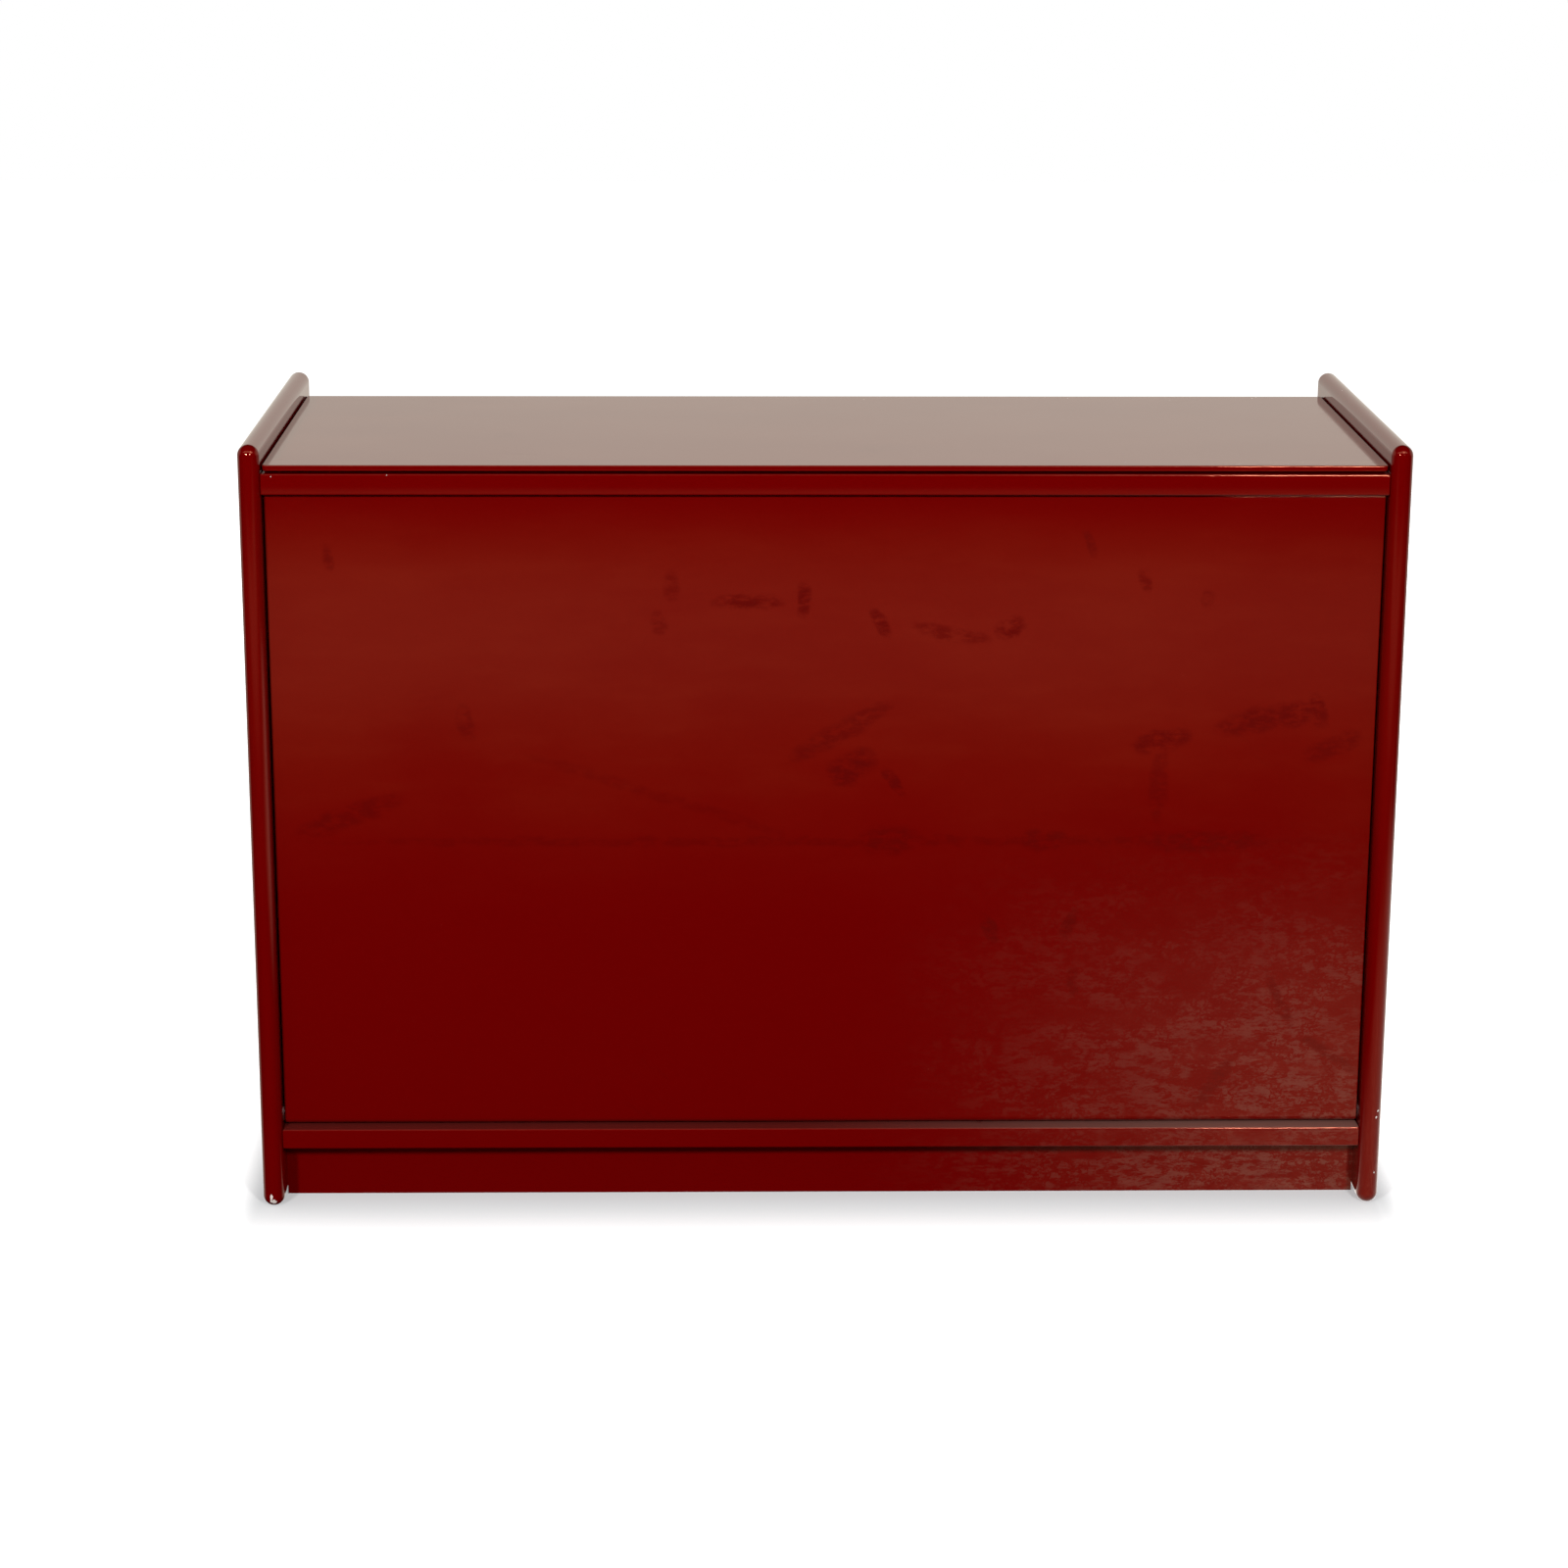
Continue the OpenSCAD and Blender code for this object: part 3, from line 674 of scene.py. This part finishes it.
class Finishes:
    """Every finish of the cabinet, made once."""

    def __init__(self) -> None:
        """Builds the materials and keeps them by what they go on."""
        effects = Effects()
        flat = ((0.0, 0.0, 0.15), (0.0, 0.0, -0.5))
        self.flap = Lacquer("lacquer front", haze=0.95, scuffs_and_sheen=0.6,
                            smears=FRONT_SMEARS).make(effects)
        # the lid's top face is painted paler: a painted sheen
        self.lid = Lacquer("lacquer top", haze=0.9, stretch=(1.0, 2.2, 1.0), overlay_tone=Tone.DUSTY_RED,
                           scratches=0.7, turns=flat).make(effects)
        self.left_cheek = Lacquer("lacquer left cheek", haze=0.3, stretch=(1, 1, 0.5), chips=(
            Chip(-520, -215, 6, 3.6, 3.2), Chip(-521.5, -216, 10, 1.8, 4.2))).make(effects)
        self.right_cheek = Lacquer("lacquer right cheek", haze=0.3, stretch=(1, 1, 0.5), chips=(
            Chip(526, -214, 94, 1.6, 1.2), Chip(524.5, -216, 88, 1.1, 1.5),
            Chip(525, -216, 32, 0.8, 1.0))).make(effects)
        self.rail = Lacquer("lacquer rail", haze=0.5, stretch=(1, 1, 3), wear=0.25, chips=(
            Chip(-500, -211, 701, 0.6, 0.6), Chip(-396, -211, 702.5, 0.6, 0.5))).make(effects)
        # the bottom board's top edge gets dust with a painted reflection
        self.sill = Lacquer("lacquer sill", haze=0.5, stretch=(1, 1, 3), wear=0.25, scuffs_and_sheen=0.45,
                            ledge_lint_and_sheen_top=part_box("bottom_board")[1].z).make(effects)
        self.plinth = Lacquer("lacquer plinth", haze=0.3, stretch=(1, 1, 3), scratches=0.8,
                              scuffs_and_sheen=0.7).make(effects)
        steel = Metal("bright steel", (0.62, 0.62, 0.63), (0.42, 0.41, 0.40), 0.22).make(effects)
        zinc = Metal("zinc plate", (0.60, 0.61, 0.62), (0.36, 0.36, 0.37), 0.34,
                     500.0).make(effects)
        self.by_slot = {
            Slot.RED_LACQUER: self.plinth,
            Slot.RED_INSIDE: Satin().make(effects),
            Slot.BEECH: Beech().make(effects),
            Slot.NYLON: Plastic("nylon", (0.060, 0.012, 0.011), (0.085, 0.030, 0.026),
                                0.38).make(effects),
            Slot.FELT: Felt().make(effects),
            Slot.WHITE_PLASTIC: Plastic("white plastic", (0.80, 0.79, 0.76), (0.62, 0.60, 0.55),
                                        0.3).make(effects),
            Slot.STEEL: steel,
            Slot.ZINC: zinc,
        }


# ---------------------------------------------------------------- panels


def span(edge: bmesh.types.BMEdge, axis: int) -> float:
    """Returns how far an edge runs along an axis, which is 0, 1 or 2."""
    return abs(edge.verts[0].co[axis] - edge.verts[1].co[axis])


class Panel:
    """A lacquered board for one CAD node, with soft arrises and their wear attribute."""

    def __init__(self, node: str, body: str) -> None:
        """Takes the board's place from the frame.

        Args:
            node: the CAD node's name.
            body: the body that the board moves with.
        """
        self.node = node
        self.body = body
        self.low, self.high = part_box(node)
        self.bm = bmesh.new()

    def block(self) -> None:
        """Fills the node's box with a plain block."""
        size = self.high - self.low
        place = Matrix.Translation((self.low + self.high) / 2) @ Matrix.Diagonal((*size, 1.0))
        bmesh.ops.create_cube(self.bm, size=1.0, matrix=place)

    def soften(self, edges: list[bmesh.types.BMEdge], radius: float, segments: int = 3) -> None:
        """Rounds edges.

        Args:
            edges: the edges to round.
            radius: in metres.
            segments: number of faces across the rounding.
        """
        bmesh.ops.bevel(self.bm, geom=edges, offset=radius, offset_type="OFFSET", affect="EDGES",
                        segments=segments, profile=0.5, material=-1, clamp_overlap=False)

    def edges_where(self, axis: int, test: Callable[[Vector], bool]) -> list[bmesh.types.BMEdge]:
        """Returns the edges that run along an axis and whose two ends both pass a test."""
        return [e for e in self.bm.edges
                if all(test(v.co) for v in e.verts) and span(e, axis) > NEAR]

    def sharp(self, angle: float) -> list[bmesh.types.BMEdge]:
        """Returns the edges at which the surface turns by more than an angle, in radians."""
        return [e for e in self.bm.edges if e.calc_face_angle(0.0) > angle]

    def mark_arrises(self, largest: float) -> None:
        """Sets the arris attribute to 1 on faces smaller across than a size.

        Args:
            largest: shortest side, in metres, up to which a face is part of an arris.
        """
        layer = self.bm.faces.layers.float.new("arris")
        for face in self.bm.faces:
            face[layer] = float(min(e.calc_length() for e in face.edges) < largest)

    def finish(self, material: bpy.types.Material) -> None:
        """Makes the object, smooths it, and sets it in place of its CAD node.

        Args:
            material: the finish it gets.
        """
        bmesh.ops.recalc_face_normals(self.bm, faces=self.bm.faces[:])
        for face in self.bm.faces:
            face.smooth = True
        piece = put_mesh(self.bm, f"{self.node}_panel", material)
        weighted = piece.modifiers.new("even shading", "WEIGHTED_NORMAL")
        weighted.keep_sharp = False
        weighted.weight = 100
        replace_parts(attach(piece, self.body), self.node)
        log.info("%s: %d faces on %s", piece.name, len(piece.data.polygons), self.body)


@dataclass
class Carcass:
    """The fixed case: two cheeks, the rails, the bottom board and the plinth."""

    cheek_round: float = 9.99 * MM
    arris: float = 1.5 * MM
    rail_crown: float = 0.22 * MM
    square_share: float = 0.3
    lengthwise: float = 0.5

    def cheek(self, node: str, material: bpy.types.Material) -> None:
        """Builds a cheek with full half-round edges and ball corners."""
        panel = Panel(node, "carcass")
        panel.block()
        panel.soften(panel.bm.edges[:], self.cheek_round, 14)
        panel.mark_arrises(0.001)
        panel.finish(material)

    def board(self, node: str, material: bpy.types.Material, crown: float = 0.0,
              square_ends: bool = False) -> None:
        """Builds a board with eased edges.

        Args:
            node: the CAD node it stands for.
            material: its finish.
            crown: how far the middle of its front stands proud of its edges.
            square_ends: leaves the edges at its ends sharp, and eases the long ones less.
        """
        panel = Panel(node, "carcass")
        panel.block()
        if crown:
            middle = (panel.low.z + panel.high.z) / 2
            whole = panel.bm.verts[:] + panel.bm.edges[:] + panel.bm.faces[:]
            bmesh.ops.bisect_plane(panel.bm, geom=whole, plane_co=(0, 0, middle),
                                   plane_no=(0, 0, 1))
            ends = [v for v in panel.bm.verts
                    if abs(v.co.z - middle) > NEAR and v.co.y < panel.low.y + NEAR]
            bmesh.ops.translate(panel.bm, verts=ends, vec=(0, crown, 0))
        sharp = panel.sharp(0.5)
        if square_ends:
            sharp = [e for e in sharp if span(e, 0) > self.lengthwise]
        panel.soften(sharp, self.arris * (self.square_share if square_ends else 1.0), 4)
        panel.mark_arrises(self.arris)
        panel.finish(material)

    def build(self, finishes: Finishes) -> None:
        """Builds the fixed panels in order."""
        self.cheek("left_cheek", finishes.left_cheek)
        self.cheek("right_cheek", finishes.right_cheek)
        self.board("top_front_rail", finishes.rail, self.rail_crown)
        self.board("bottom_board", finishes.sill)
        self.board("front_plinth", finishes.plinth, square_ends=True)


@dataclass
class LiftTop:
    """The hinged top: a full board with a thin lip over the front rail and a rounded back edge."""

    lip_thick: float = 5.5 * MM
    lip_deep: float = 19.5 * MM
    corner: float = 5.0 * MM
    arris: float = 1.2 * MM
    back_share: float = 0.999

    def build(self, finishes: Finishes) -> None:
        """Builds the top from its side outline, drawn out across the width."""
        panel = Panel("lid", "lid")
        low, high = panel.low, panel.high
        step_y, step_z = low.y + self.lip_deep, high.z - self.lip_thick
        outline = ((low.y, high.z), (low.y, step_z), (step_y, step_z), (step_y, low.z),
                   (high.y, low.z), (high.y, high.z))
        face = panel.bm.faces.new([panel.bm.verts.new((low.x, y, z)) for y, z in outline])
        drawn = bmesh.ops.extrude_face_region(panel.bm, geom=[face])
        moved = [v for v in drawn["geom"] if isinstance(v, bmesh.types.BMVert)]
        bmesh.ops.translate(panel.bm, verts=moved, vec=(high.x - low.x, 0, 0))
        panel.soften(panel.edges_where(2, lambda v: v.y < low.y + NEAR), self.corner, 6)
        half = (high.z - low.z) / 2 * self.back_share
        panel.soften(panel.edges_where(0, lambda v: v.y > high.y - NEAR), half, 12)
        panel.soften(panel.sharp(0.8), self.arris, 3)
        panel.mark_arrises(self.arris)
        panel.finish(finishes.lid)


@dataclass
class DropFront:
    """The flap: a flat board, well rounded along its hinged lower edge."""

    lower_round: float = 6.0 * MM
    arris: float = 1.3 * MM

    def build(self, finishes: Finishes) -> None:
        """Builds the flap."""
        panel = Panel("flap", "flap")
        panel.block()
        lower = panel.edges_where(0, lambda v: v.z < panel.low.z + NEAR)
        panel.soften(lower, self.lower_round, 8)
        panel.soften(panel.sharp(0.8), self.arris, 3)
        panel.mark_arrises(self.arris)
        panel.finish(finishes.flap)


# ---------------------------------------------------------------- screws and nuts


def islands(node: str) -> list[tuple[Vector, Vector]]:
    """Finds the separate solids of a CAD node.

    Args:
        node: the node's name.

    Returns:
        The lowest and highest corner of each solid, at rest.
    """
    bm = bmesh.new()
    bm.from_mesh(frame["nodes"][node].data)
    bmesh.ops.remove_doubles(bm, verts=bm.verts[:], dist=NEAR)
    left, found = set(bm.verts), []
    while left:
        pile = [left.pop()]
        solid = []
        while pile:
            vert = pile.pop()
            solid.append(vert.co.copy())
            for edge in vert.link_edges:
                other = edge.other_vert(vert)
                if other in left:
                    left.remove(other)
                    pile.append(other)
        found.append((Vector(map(min, zip(*solid))), Vector(map(max, zip(*solid)))))
    bm.free()
    return sorted(found, key=lambda box: tuple(box[0]))


def show(bm: bmesh.types.BMesh, name: str, body: str, slot: Slot, finishes: Finishes,
         nodes: tuple[str, ...]) -> None:
    """Makes one piece of a finished mesh and sets it in place of its CAD nodes.

    Args:
        bm: the mesh, which is freed.
        name: the piece's name.
        body: the body it moves with.
        slot: the slot of its finish.
        finishes: all finishes.
        nodes: the CAD nodes it stands for.
    """
    bmesh.ops.remove_doubles(bm, verts=bm.verts[:], dist=1e-7)
    bmesh.ops.recalc_face_normals(bm, faces=bm.faces[:])
    piece = put_mesh(bm, name, finishes.by_slot[slot])
    mesh = piece.data
    mesh.shade_smooth()
    mesh.set_sharp_from_angle(angle=math.radians(32))
    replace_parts(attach(piece, body), *nodes)
    log.info("%s: %d faces on %s", name, len(mesh.polygons), body)


@dataclass
class CrossScrew:
    """A countersunk screw with a cross recess."""

    head: float = 3.4 * MM
    head_thick: float = 1.5 * MM
    shank: float = 1.6 * MM
    rim: float = 0.35 * MM
    arm: float = 1.9 * MM
    arm_half: float = 0.42 * MM
    recess: float = 1.1 * MM
    recess_share: float = 0.45
    rim_share: float = 0.6
    tip_shanks: float = 2.0
    tip_share: float = 0.15

    def add(self, bm: bmesh.types.BMesh, top: Vector, way: Vector, length: float,
            turn: float) -> None:
        """Adds one screw.

        Args:
            bm: the mesh it is added to.
            top: middle of the head's face.
            way: the way that the head faces.
            length: from the head's face to the tip.
            turn: how far round it was driven, in radians.
        """
        before = set(bm.verts)
        ring = bmesh.ops.create_circle(bm, segments=24, radius=self.head - self.rim)["verts"]
        outer = list(dict.fromkeys(e for v in ring for e in v.link_edges))
        a, b = self.arm, self.arm_half
        cross = [bm.verts.new((x, y, 0.0)) for x, y in (
            (a, -b), (a, b), (b, b), (b, a), (-b, a), (-b, b),
            (-a, b), (-a, -b), (-b, -b), (-b, -a), (b, -a), (b, -b))]
        inner = [bm.edges.new((cross[k - 1], cross[k])) for k in range(len(cross))]
        bmesh.ops.triangle_fill(bm, use_beauty=True, use_dissolve=False, edges=outer + inner)
        floor = self.draw(bm, inner, -self.recess, self.recess_share)
        bmesh.ops.contextual_create(bm, geom=floor)
        eased, tip = self.rim * self.rim_share, self.tip_shanks * self.shank
        edge = self.draw(bm, outer, -eased, self.head / (self.head - self.rim))
        edge = self.draw(bm, edge, eased - self.head_thick, 1.0)
        edge = self.draw(bm, edge, 0.0, self.shank / self.head)
        edge = self.draw(bm, edge, self.head_thick - length + tip, 1.0)
        edge = self.draw(bm, edge, -tip, self.tip_share)
        bmesh.ops.contextual_create(bm, geom=edge)
        new = [v for v in bm.verts if v not in before]
        aim = Vector((0, 0, 1)).rotation_difference(way).to_matrix().to_4x4()
        bmesh.ops.transform(bm, verts=new,
                            matrix=Matrix.Translation(top) @ aim @ Matrix.Rotation(turn, 4, "Z"))

    @staticmethod
    def draw(bm: bmesh.types.BMesh, edges: list, drop: float, spread: float) -> list:
        """Draws a loop of edges down and in or out, and returns the new loop."""
        drawn = bmesh.ops.extrude_edge_only(bm, edges=edges)["geom"]
        verts = [v for v in drawn if isinstance(v, bmesh.types.BMVert)]
        bmesh.ops.scale(bm, verts=verts, vec=(spread, spread, 1.0))
        bmesh.ops.translate(bm, verts=verts, vec=(0, 0, drop))
        ends = set(verts)
        return [e for e in drawn if isinstance(e, bmesh.types.BMEdge) and set(e.verts) <= ends]


@dataclass
class Hardware:
    """Screws and stay nuts, each where the frame has it."""

    nut_radius: float = 5.0 * MM
    nut_long: float = 8.0 * MM
    nut_arris: float = 0.5 * MM
    rib_gap: float = 0.14 * MM
    rib_deep: float = 0.25 * MM
    cap_border: float = 1.4 * MM
    cap_deep: float = 0.3 * MM

    def screws(self, finishes: Finishes, node: str, body: str,
               way: Callable[[Vector], Vector]) -> None:
        """Builds every screw of a node.

        Args:
            finishes: all finishes.
            node: the CAD node.
            body: the body that the screws sit in.
            way: gives the way a head faces from the screw's middle.
        """
        bm = bmesh.new()
        for k, (low, high) in enumerate(islands(node)):
            middle, size = (low + high) / 2, high - low
            facing = way(middle)
            long = abs(size.dot(facing))
            CrossScrew().add(bm, middle + facing * (long / 2), facing, long, 0.7 * k)
        show(bm, f"{node}_cross", body, Slot.ZINC, finishes, (node,))

    def nut(self, finishes: Finishes, kind: str, side: str) -> None:
        """Builds the ribbed nut at the end of a stay rod."""
        node = f"{kind}_nut_{side}"
        low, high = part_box(node)
        middle = (low + high) / 2
        pin_low, pin_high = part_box(f"{kind}_pivot_pins")
        pin = (pin_low + pin_high) / 2
        axis = middle - Vector((middle.x, pin.y, pin.z))
        bm = bmesh.new()
        bmesh.ops.create_cone(bm, cap_ends=True, segments=30, radius1=self.nut_radius,
                              radius2=self.nut_radius, depth=self.nut_long)
        ends = [f for f in bm.faces if len(f.verts) > 4]
        bmesh.ops.bevel(bm, geom=[e for f in ends for e in f.edges], offset=self.nut_arris,
                        segments=2, affect="EDGES", profile=0.5, material=-1)
        sides = [f for f in bm.faces if abs(f.normal.z) < 0.1]
        bmesh.ops.inset_individual(bm, faces=sides, thickness=self.rib_gap,
                                     depth=-self.rib_deep)
        caps = [f for f in bm.faces if len(f.verts) > 4]
        bmesh.ops.inset_region(bm, faces=caps, thickness=self.cap_border,
                               depth=-self.cap_deep)
        aim = Vector((0, 0, 1)).rotation_difference(axis.normalized()).to_matrix().to_4x4()
        bmesh.ops.transform(bm, verts=bm.verts[:], matrix=Matrix.Translation(middle) @ aim)
        show(bm, f"{node}_ribbed", f"{kind}_stay_{side}", Slot.ZINC, finishes, (node,))

    def build(self, finishes: Finishes) -> None:
        """Builds all screws and nuts."""
        self.screws(finishes, "back_screws", "carcass", lambda m: Vector((0, 1, 0)))
        self.screws(finishes, "plate_screws", "carcass",
                    lambda m: Vector((-math.copysign(1, m.x), 0, 0)))
        self.screws(finishes, "lid_bracket_screws", "lid", lambda m: Vector((0, 0, -1)))
        self.screws(finishes, "flap_bracket_screws", "flap", lambda m: Vector((0, 1, 0)))
        for kind in ("lid", "flap"):
            for side in ("left", "right"):
                self.nut(finishes, kind, side)


# ---------------------------------------------------------------- carried-over nodes


class Fittings:
    """The CAD nodes that stay as they are and get their slot's finish."""

    def dress(self, finishes: Finishes) -> None:
        """Puts the finish of its slot on every CAD node that is still shown."""
        slots = {m["slot"] for m in frame["record"]["materials"]}
        for name, node in sorted(frame["nodes"].items()):
            if node.hide_render:
                continue
            for place in node.material_slots:
                slot = place.material.name.split(".")[0] if place.material else ""
                place.material = finishes.by_slot[Slot(slot) if slot in slots else Slot.STEEL]
            log.info("%s: %s", name, node.material_slots[0].material.name)


# ---------------------------------------------------------------- studio


@dataclass
class Studio:
    """Pale floor, soft white surroundings, two lamps beside the camera, and reflector cards."""

    eye: Triple = (-0.09912, -3.45807, 1.30397)
    pitch: float = 0.26741
    yaw: float = 0.01896
    roll: float = 0.00383
    lens: float = 83.87

    def camera(self) -> None:
        """Sets the camera where the object is seen from the front, a little above."""
        look = Vector((math.sin(self.yaw) * math.cos(self.pitch),
                       math.cos(self.yaw) * math.cos(self.pitch), -math.sin(self.pitch)))
        right = Vector((math.cos(self.yaw), -math.sin(self.yaw), 0.0))
        up = right.cross(look)
        c, s = math.cos(self.roll), math.sin(self.roll)
        across, above = right * c + up * s, up * c - right * s
        turned = Matrix((across, above, -look)).transposed().to_4x4()
        data = bpy.data.cameras.new("camera")
        data.lens = self.lens
        data.sensor_width = 36.0
        camera = put("camera", data)
        camera.matrix_world = Matrix.Translation(self.eye) @ turned
        bpy.context.scene.camera = camera

    def surroundings(self) -> None:
        """White to the camera, soft white for light, and a bright horizon in reflections."""
        world = bpy.data.worlds.new("surroundings")
        bpy.context.scene.world = world
        world.use_nodes = True
        g = Graph(world.node_tree)
        g.tree.nodes.clear()
        rays = g.add("ShaderNodeLightPath").outputs
        way = g.axes(g.add("ShaderNodeTexCoord").outputs["Generated"])
        low = g.ramp(g.math("ABSOLUTE", way[2]), 0.62, 0.30)
        behind = g.ramp(way[1], g.ramp(way[2], 0.0, -0.02, -0.25, 0.05),
                        g.ramp(way[2], 0.0, -0.02, 0.15, 0.35))
        side = g.times(g.plus(g.times(way[0], 0.12), 0.98), g.times(low, behind))
        mirrored = g.blend(side, (0.0, 0.0, 0.0), (0.88, 0.82, 0.72))
        seen = g.blend(rays["Is Glossy Ray"], (0.33, 0.33, 0.325), mirrored)
        seen = g.blend(rays["Is Camera Ray"], seen, (1.0, 1.0, 1.0))
        back = g.add("ShaderNodeBackground", {"Color": seen, "Strength": 1.0})
        g.feed(g.add("ShaderNodeOutputWorld").inputs[0], back.outputs[0])

    @staticmethod
    def sheet(name: str, half: float, material: bpy.types.Material) -> bpy.types.Object:
        """Makes a flat square sheet from half of its side."""
        bm = bmesh.new()
        bmesh.ops.create_grid(bm, x_segments=1, y_segments=1, size=half)
        return put_mesh(bm, name, material)

    def floor(self) -> None:
        """A pale matt floor that stays out of reflections, with a painted contact shadow near the
        cabinet's footprint.
        """
        mat, g, shader = open_material("pale floor")
        half_base, weights = (0.532, 0.19, 0.0), (4.5, 1.0, 0.0)
        away = g.vector("SUBTRACT", g.vector("ABSOLUTE", g.place()), half_base)
        away = g.vector("MULTIPLY", g.vector("MAXIMUM", away, (0.0, 0.0, 0.0)), weights)
        reach = g.add("ShaderNodeVectorMath", {0: away}, operation="LENGTH").outputs["Value"]
        # painted contact shadow: 0 at the cabinet's footprint, 1 from 0.2 m out
        clear_of_painted_shadow = g.ramp(reach, -0.02, 0.2)
        path = g.add("ShaderNodeLightPath").outputs
        # the glow to the camera and the colour both darken in the painted contact shadow
        glow_with_painted_shadow = g.blend(clear_of_painted_shadow, (0.30, 0.305, 0.31), (0.85, 0.85, 0.85))
        pale = g.blend(clear_of_painted_shadow, (0.42, 0.425, 0.43), (0.86, 0.86, 0.86))
        g.fill(shader, {
            "Base Color": g.blend(path["Is Diffuse Ray"], pale, (0.34, 0.34, 0.34)),
            "Emission Color": g.blend(path["Is Camera Ray"], (0.0, 0.0, 0.0), glow_with_painted_shadow),
            "Roughness": 0.9, "Specular IOR Level": 0.0, "Emission Strength": 1.0})
        piece = self.sheet("floor", 9.0, mat)
        piece.visible_glossy = False

    @staticmethod
    def lamp(name: str, place: Triple, target: Triple, size: float, power: float,
             glossy: bool = True) -> None:
        """Adds one square soft light.

        Args:
            name: the light's name.
            place: where it hangs.
            target: what it points at.
            size: its side, in metres.
            power: in watts.
            glossy: whether it shows in reflections.
        """
        data = bpy.data.lights.new(name, "AREA")
        data.size = size
        data.energy = power
        lamp = put(name, data)
        lamp.location = place
        lamp.rotation_euler = (Vector(target) - Vector(place)).to_track_quat("-Z", "Y").to_euler()
        lamp.visible_camera = False
        lamp.visible_glossy = glossy

    def card(self, name: str, centre: Triple, size: tuple[float, float],
             fade: tuple[float, float], glow: float, mottled: float = 0.0,
             tilt: float = 0.0) -> None:
        """Adds a soft-edged card that only reflections see.

        Args:
            name: the card's name.
            centre: its middle.
            size: its width and depth.
            fade: share of the width and of the depth over which each edge fades.
            glow: how bright its middle is.
            mottled: from 0, even, to 1, blotched like a scuffed floor.
            tilt: angle about its own width, in radians.
        """
        mat = bpy.data.materials.new(name)
        mat.use_nodes = True
        g = Graph(mat.node_tree)
        g.tree.nodes.clear()
        place = g.place()
        axes = g.axes(place)
        soft = g.times(g.ramp(g.math("ABSOLUTE", axes[0]), 0.5, 0.5 - fade[0]),
                      g.ramp(g.math("ABSOLUTE", axes[1]), 0.5, 0.5 - fade[1]))
        world_place = g.add("ShaderNodeNewGeometry").outputs["Position"]
        blotch = g.ramp(g.noise(world_place, 38.0, 7.0, 0.74), 0.40, 0.60)
        patch = g.ramp(g.noise(world_place, 9.0, 4.0, 0.6), 0.36, 0.62, 0.25, 1.0)
        vein = g.off_half(g.noise(world_place, 16.0, 6.0, 0.62))
        texture = g.times(blotch, patch, g.ramp(vein, 0.0, 0.03, 0.1, 1.0))
        kept = g.plus(1.0 - mottled, g.times(texture, mottled * 3.0))
        strength = g.times(soft, kept, glow)
        light = g.add("ShaderNodeEmission", {"Color": (1.0, 0.97, 0.93), "Strength": strength})
        clear = g.add("ShaderNodeBsdfTransparent")
        both = g.add("ShaderNodeAddShader", {0: light.outputs[0], 1: clear.outputs[0]})
        g.feed(g.add("ShaderNodeOutputMaterial").inputs[0], both.outputs[0])
        piece = self.sheet(name, 0.5, mat)
        piece.location = centre
        piece.rotation_euler = (tilt, 0.0, 0.0)
        piece.scale = (*size, 1.0)
        for ray in ("camera", "diffuse", "transmission", "volume_scatter", "shadow"):
            setattr(piece, f"visible_{ray}", False)

    def build(self) -> None:
        """Sets up the camera, surroundings, lamps and cards."""
        scene = bpy.context.scene
        scene.view_settings.view_transform = "Standard"
        self.camera()
        self.surroundings()
        self.floor()
        self.lamp("left lamp", (-1.6, -3.3, 1.8), (0.0, -0.2, 0.5), 0.36, 84.0)
        self.lamp("right lamp", (1.0, -3.3, 1.8), (0.0, -0.2, 0.5), 0.36, 84.0)
        self.lamp("rear lamp", (0.5, 3.3, 1.5), (0.0, 0.0, 0.35), 1.0, 70.0, glossy=False)
        self.card("far floor", (0.0, -2.65, 0.0), (6.0, 2.0), (0.3, 0.45), 0.36)
        self.card("near floor right", (1.05, -0.30, 0.0), (2.0, 2.4), (0.3, 0.5), 1.2, 0.25)
        self.card("high strip", (0.0, -1.9, 2.5), (7.0, 1.1), (0.2, 0.3), 2.6, tilt=0.6)
        self.card("high right strip", (0.90, -1.9, 2.4), (1.3, 1.3), (0.3, 0.3), 7.0, tilt=0.6)
        log.info("studio: camera at %s", self.eye)


def main() -> None:
    """Builds the cabinet's pieces in order, then the studio."""
    logging.basicConfig(level=logging.INFO, format="%(name)s: %(message)s")
    finishes = Finishes()
    Carcass().build(finishes)
    LiftTop().build(finishes)
    DropFront().build(finishes)
    Hardware().build(finishes)
    Fittings().dress(finishes)
    Studio().build()


if __name__ == "__main__":
    main()
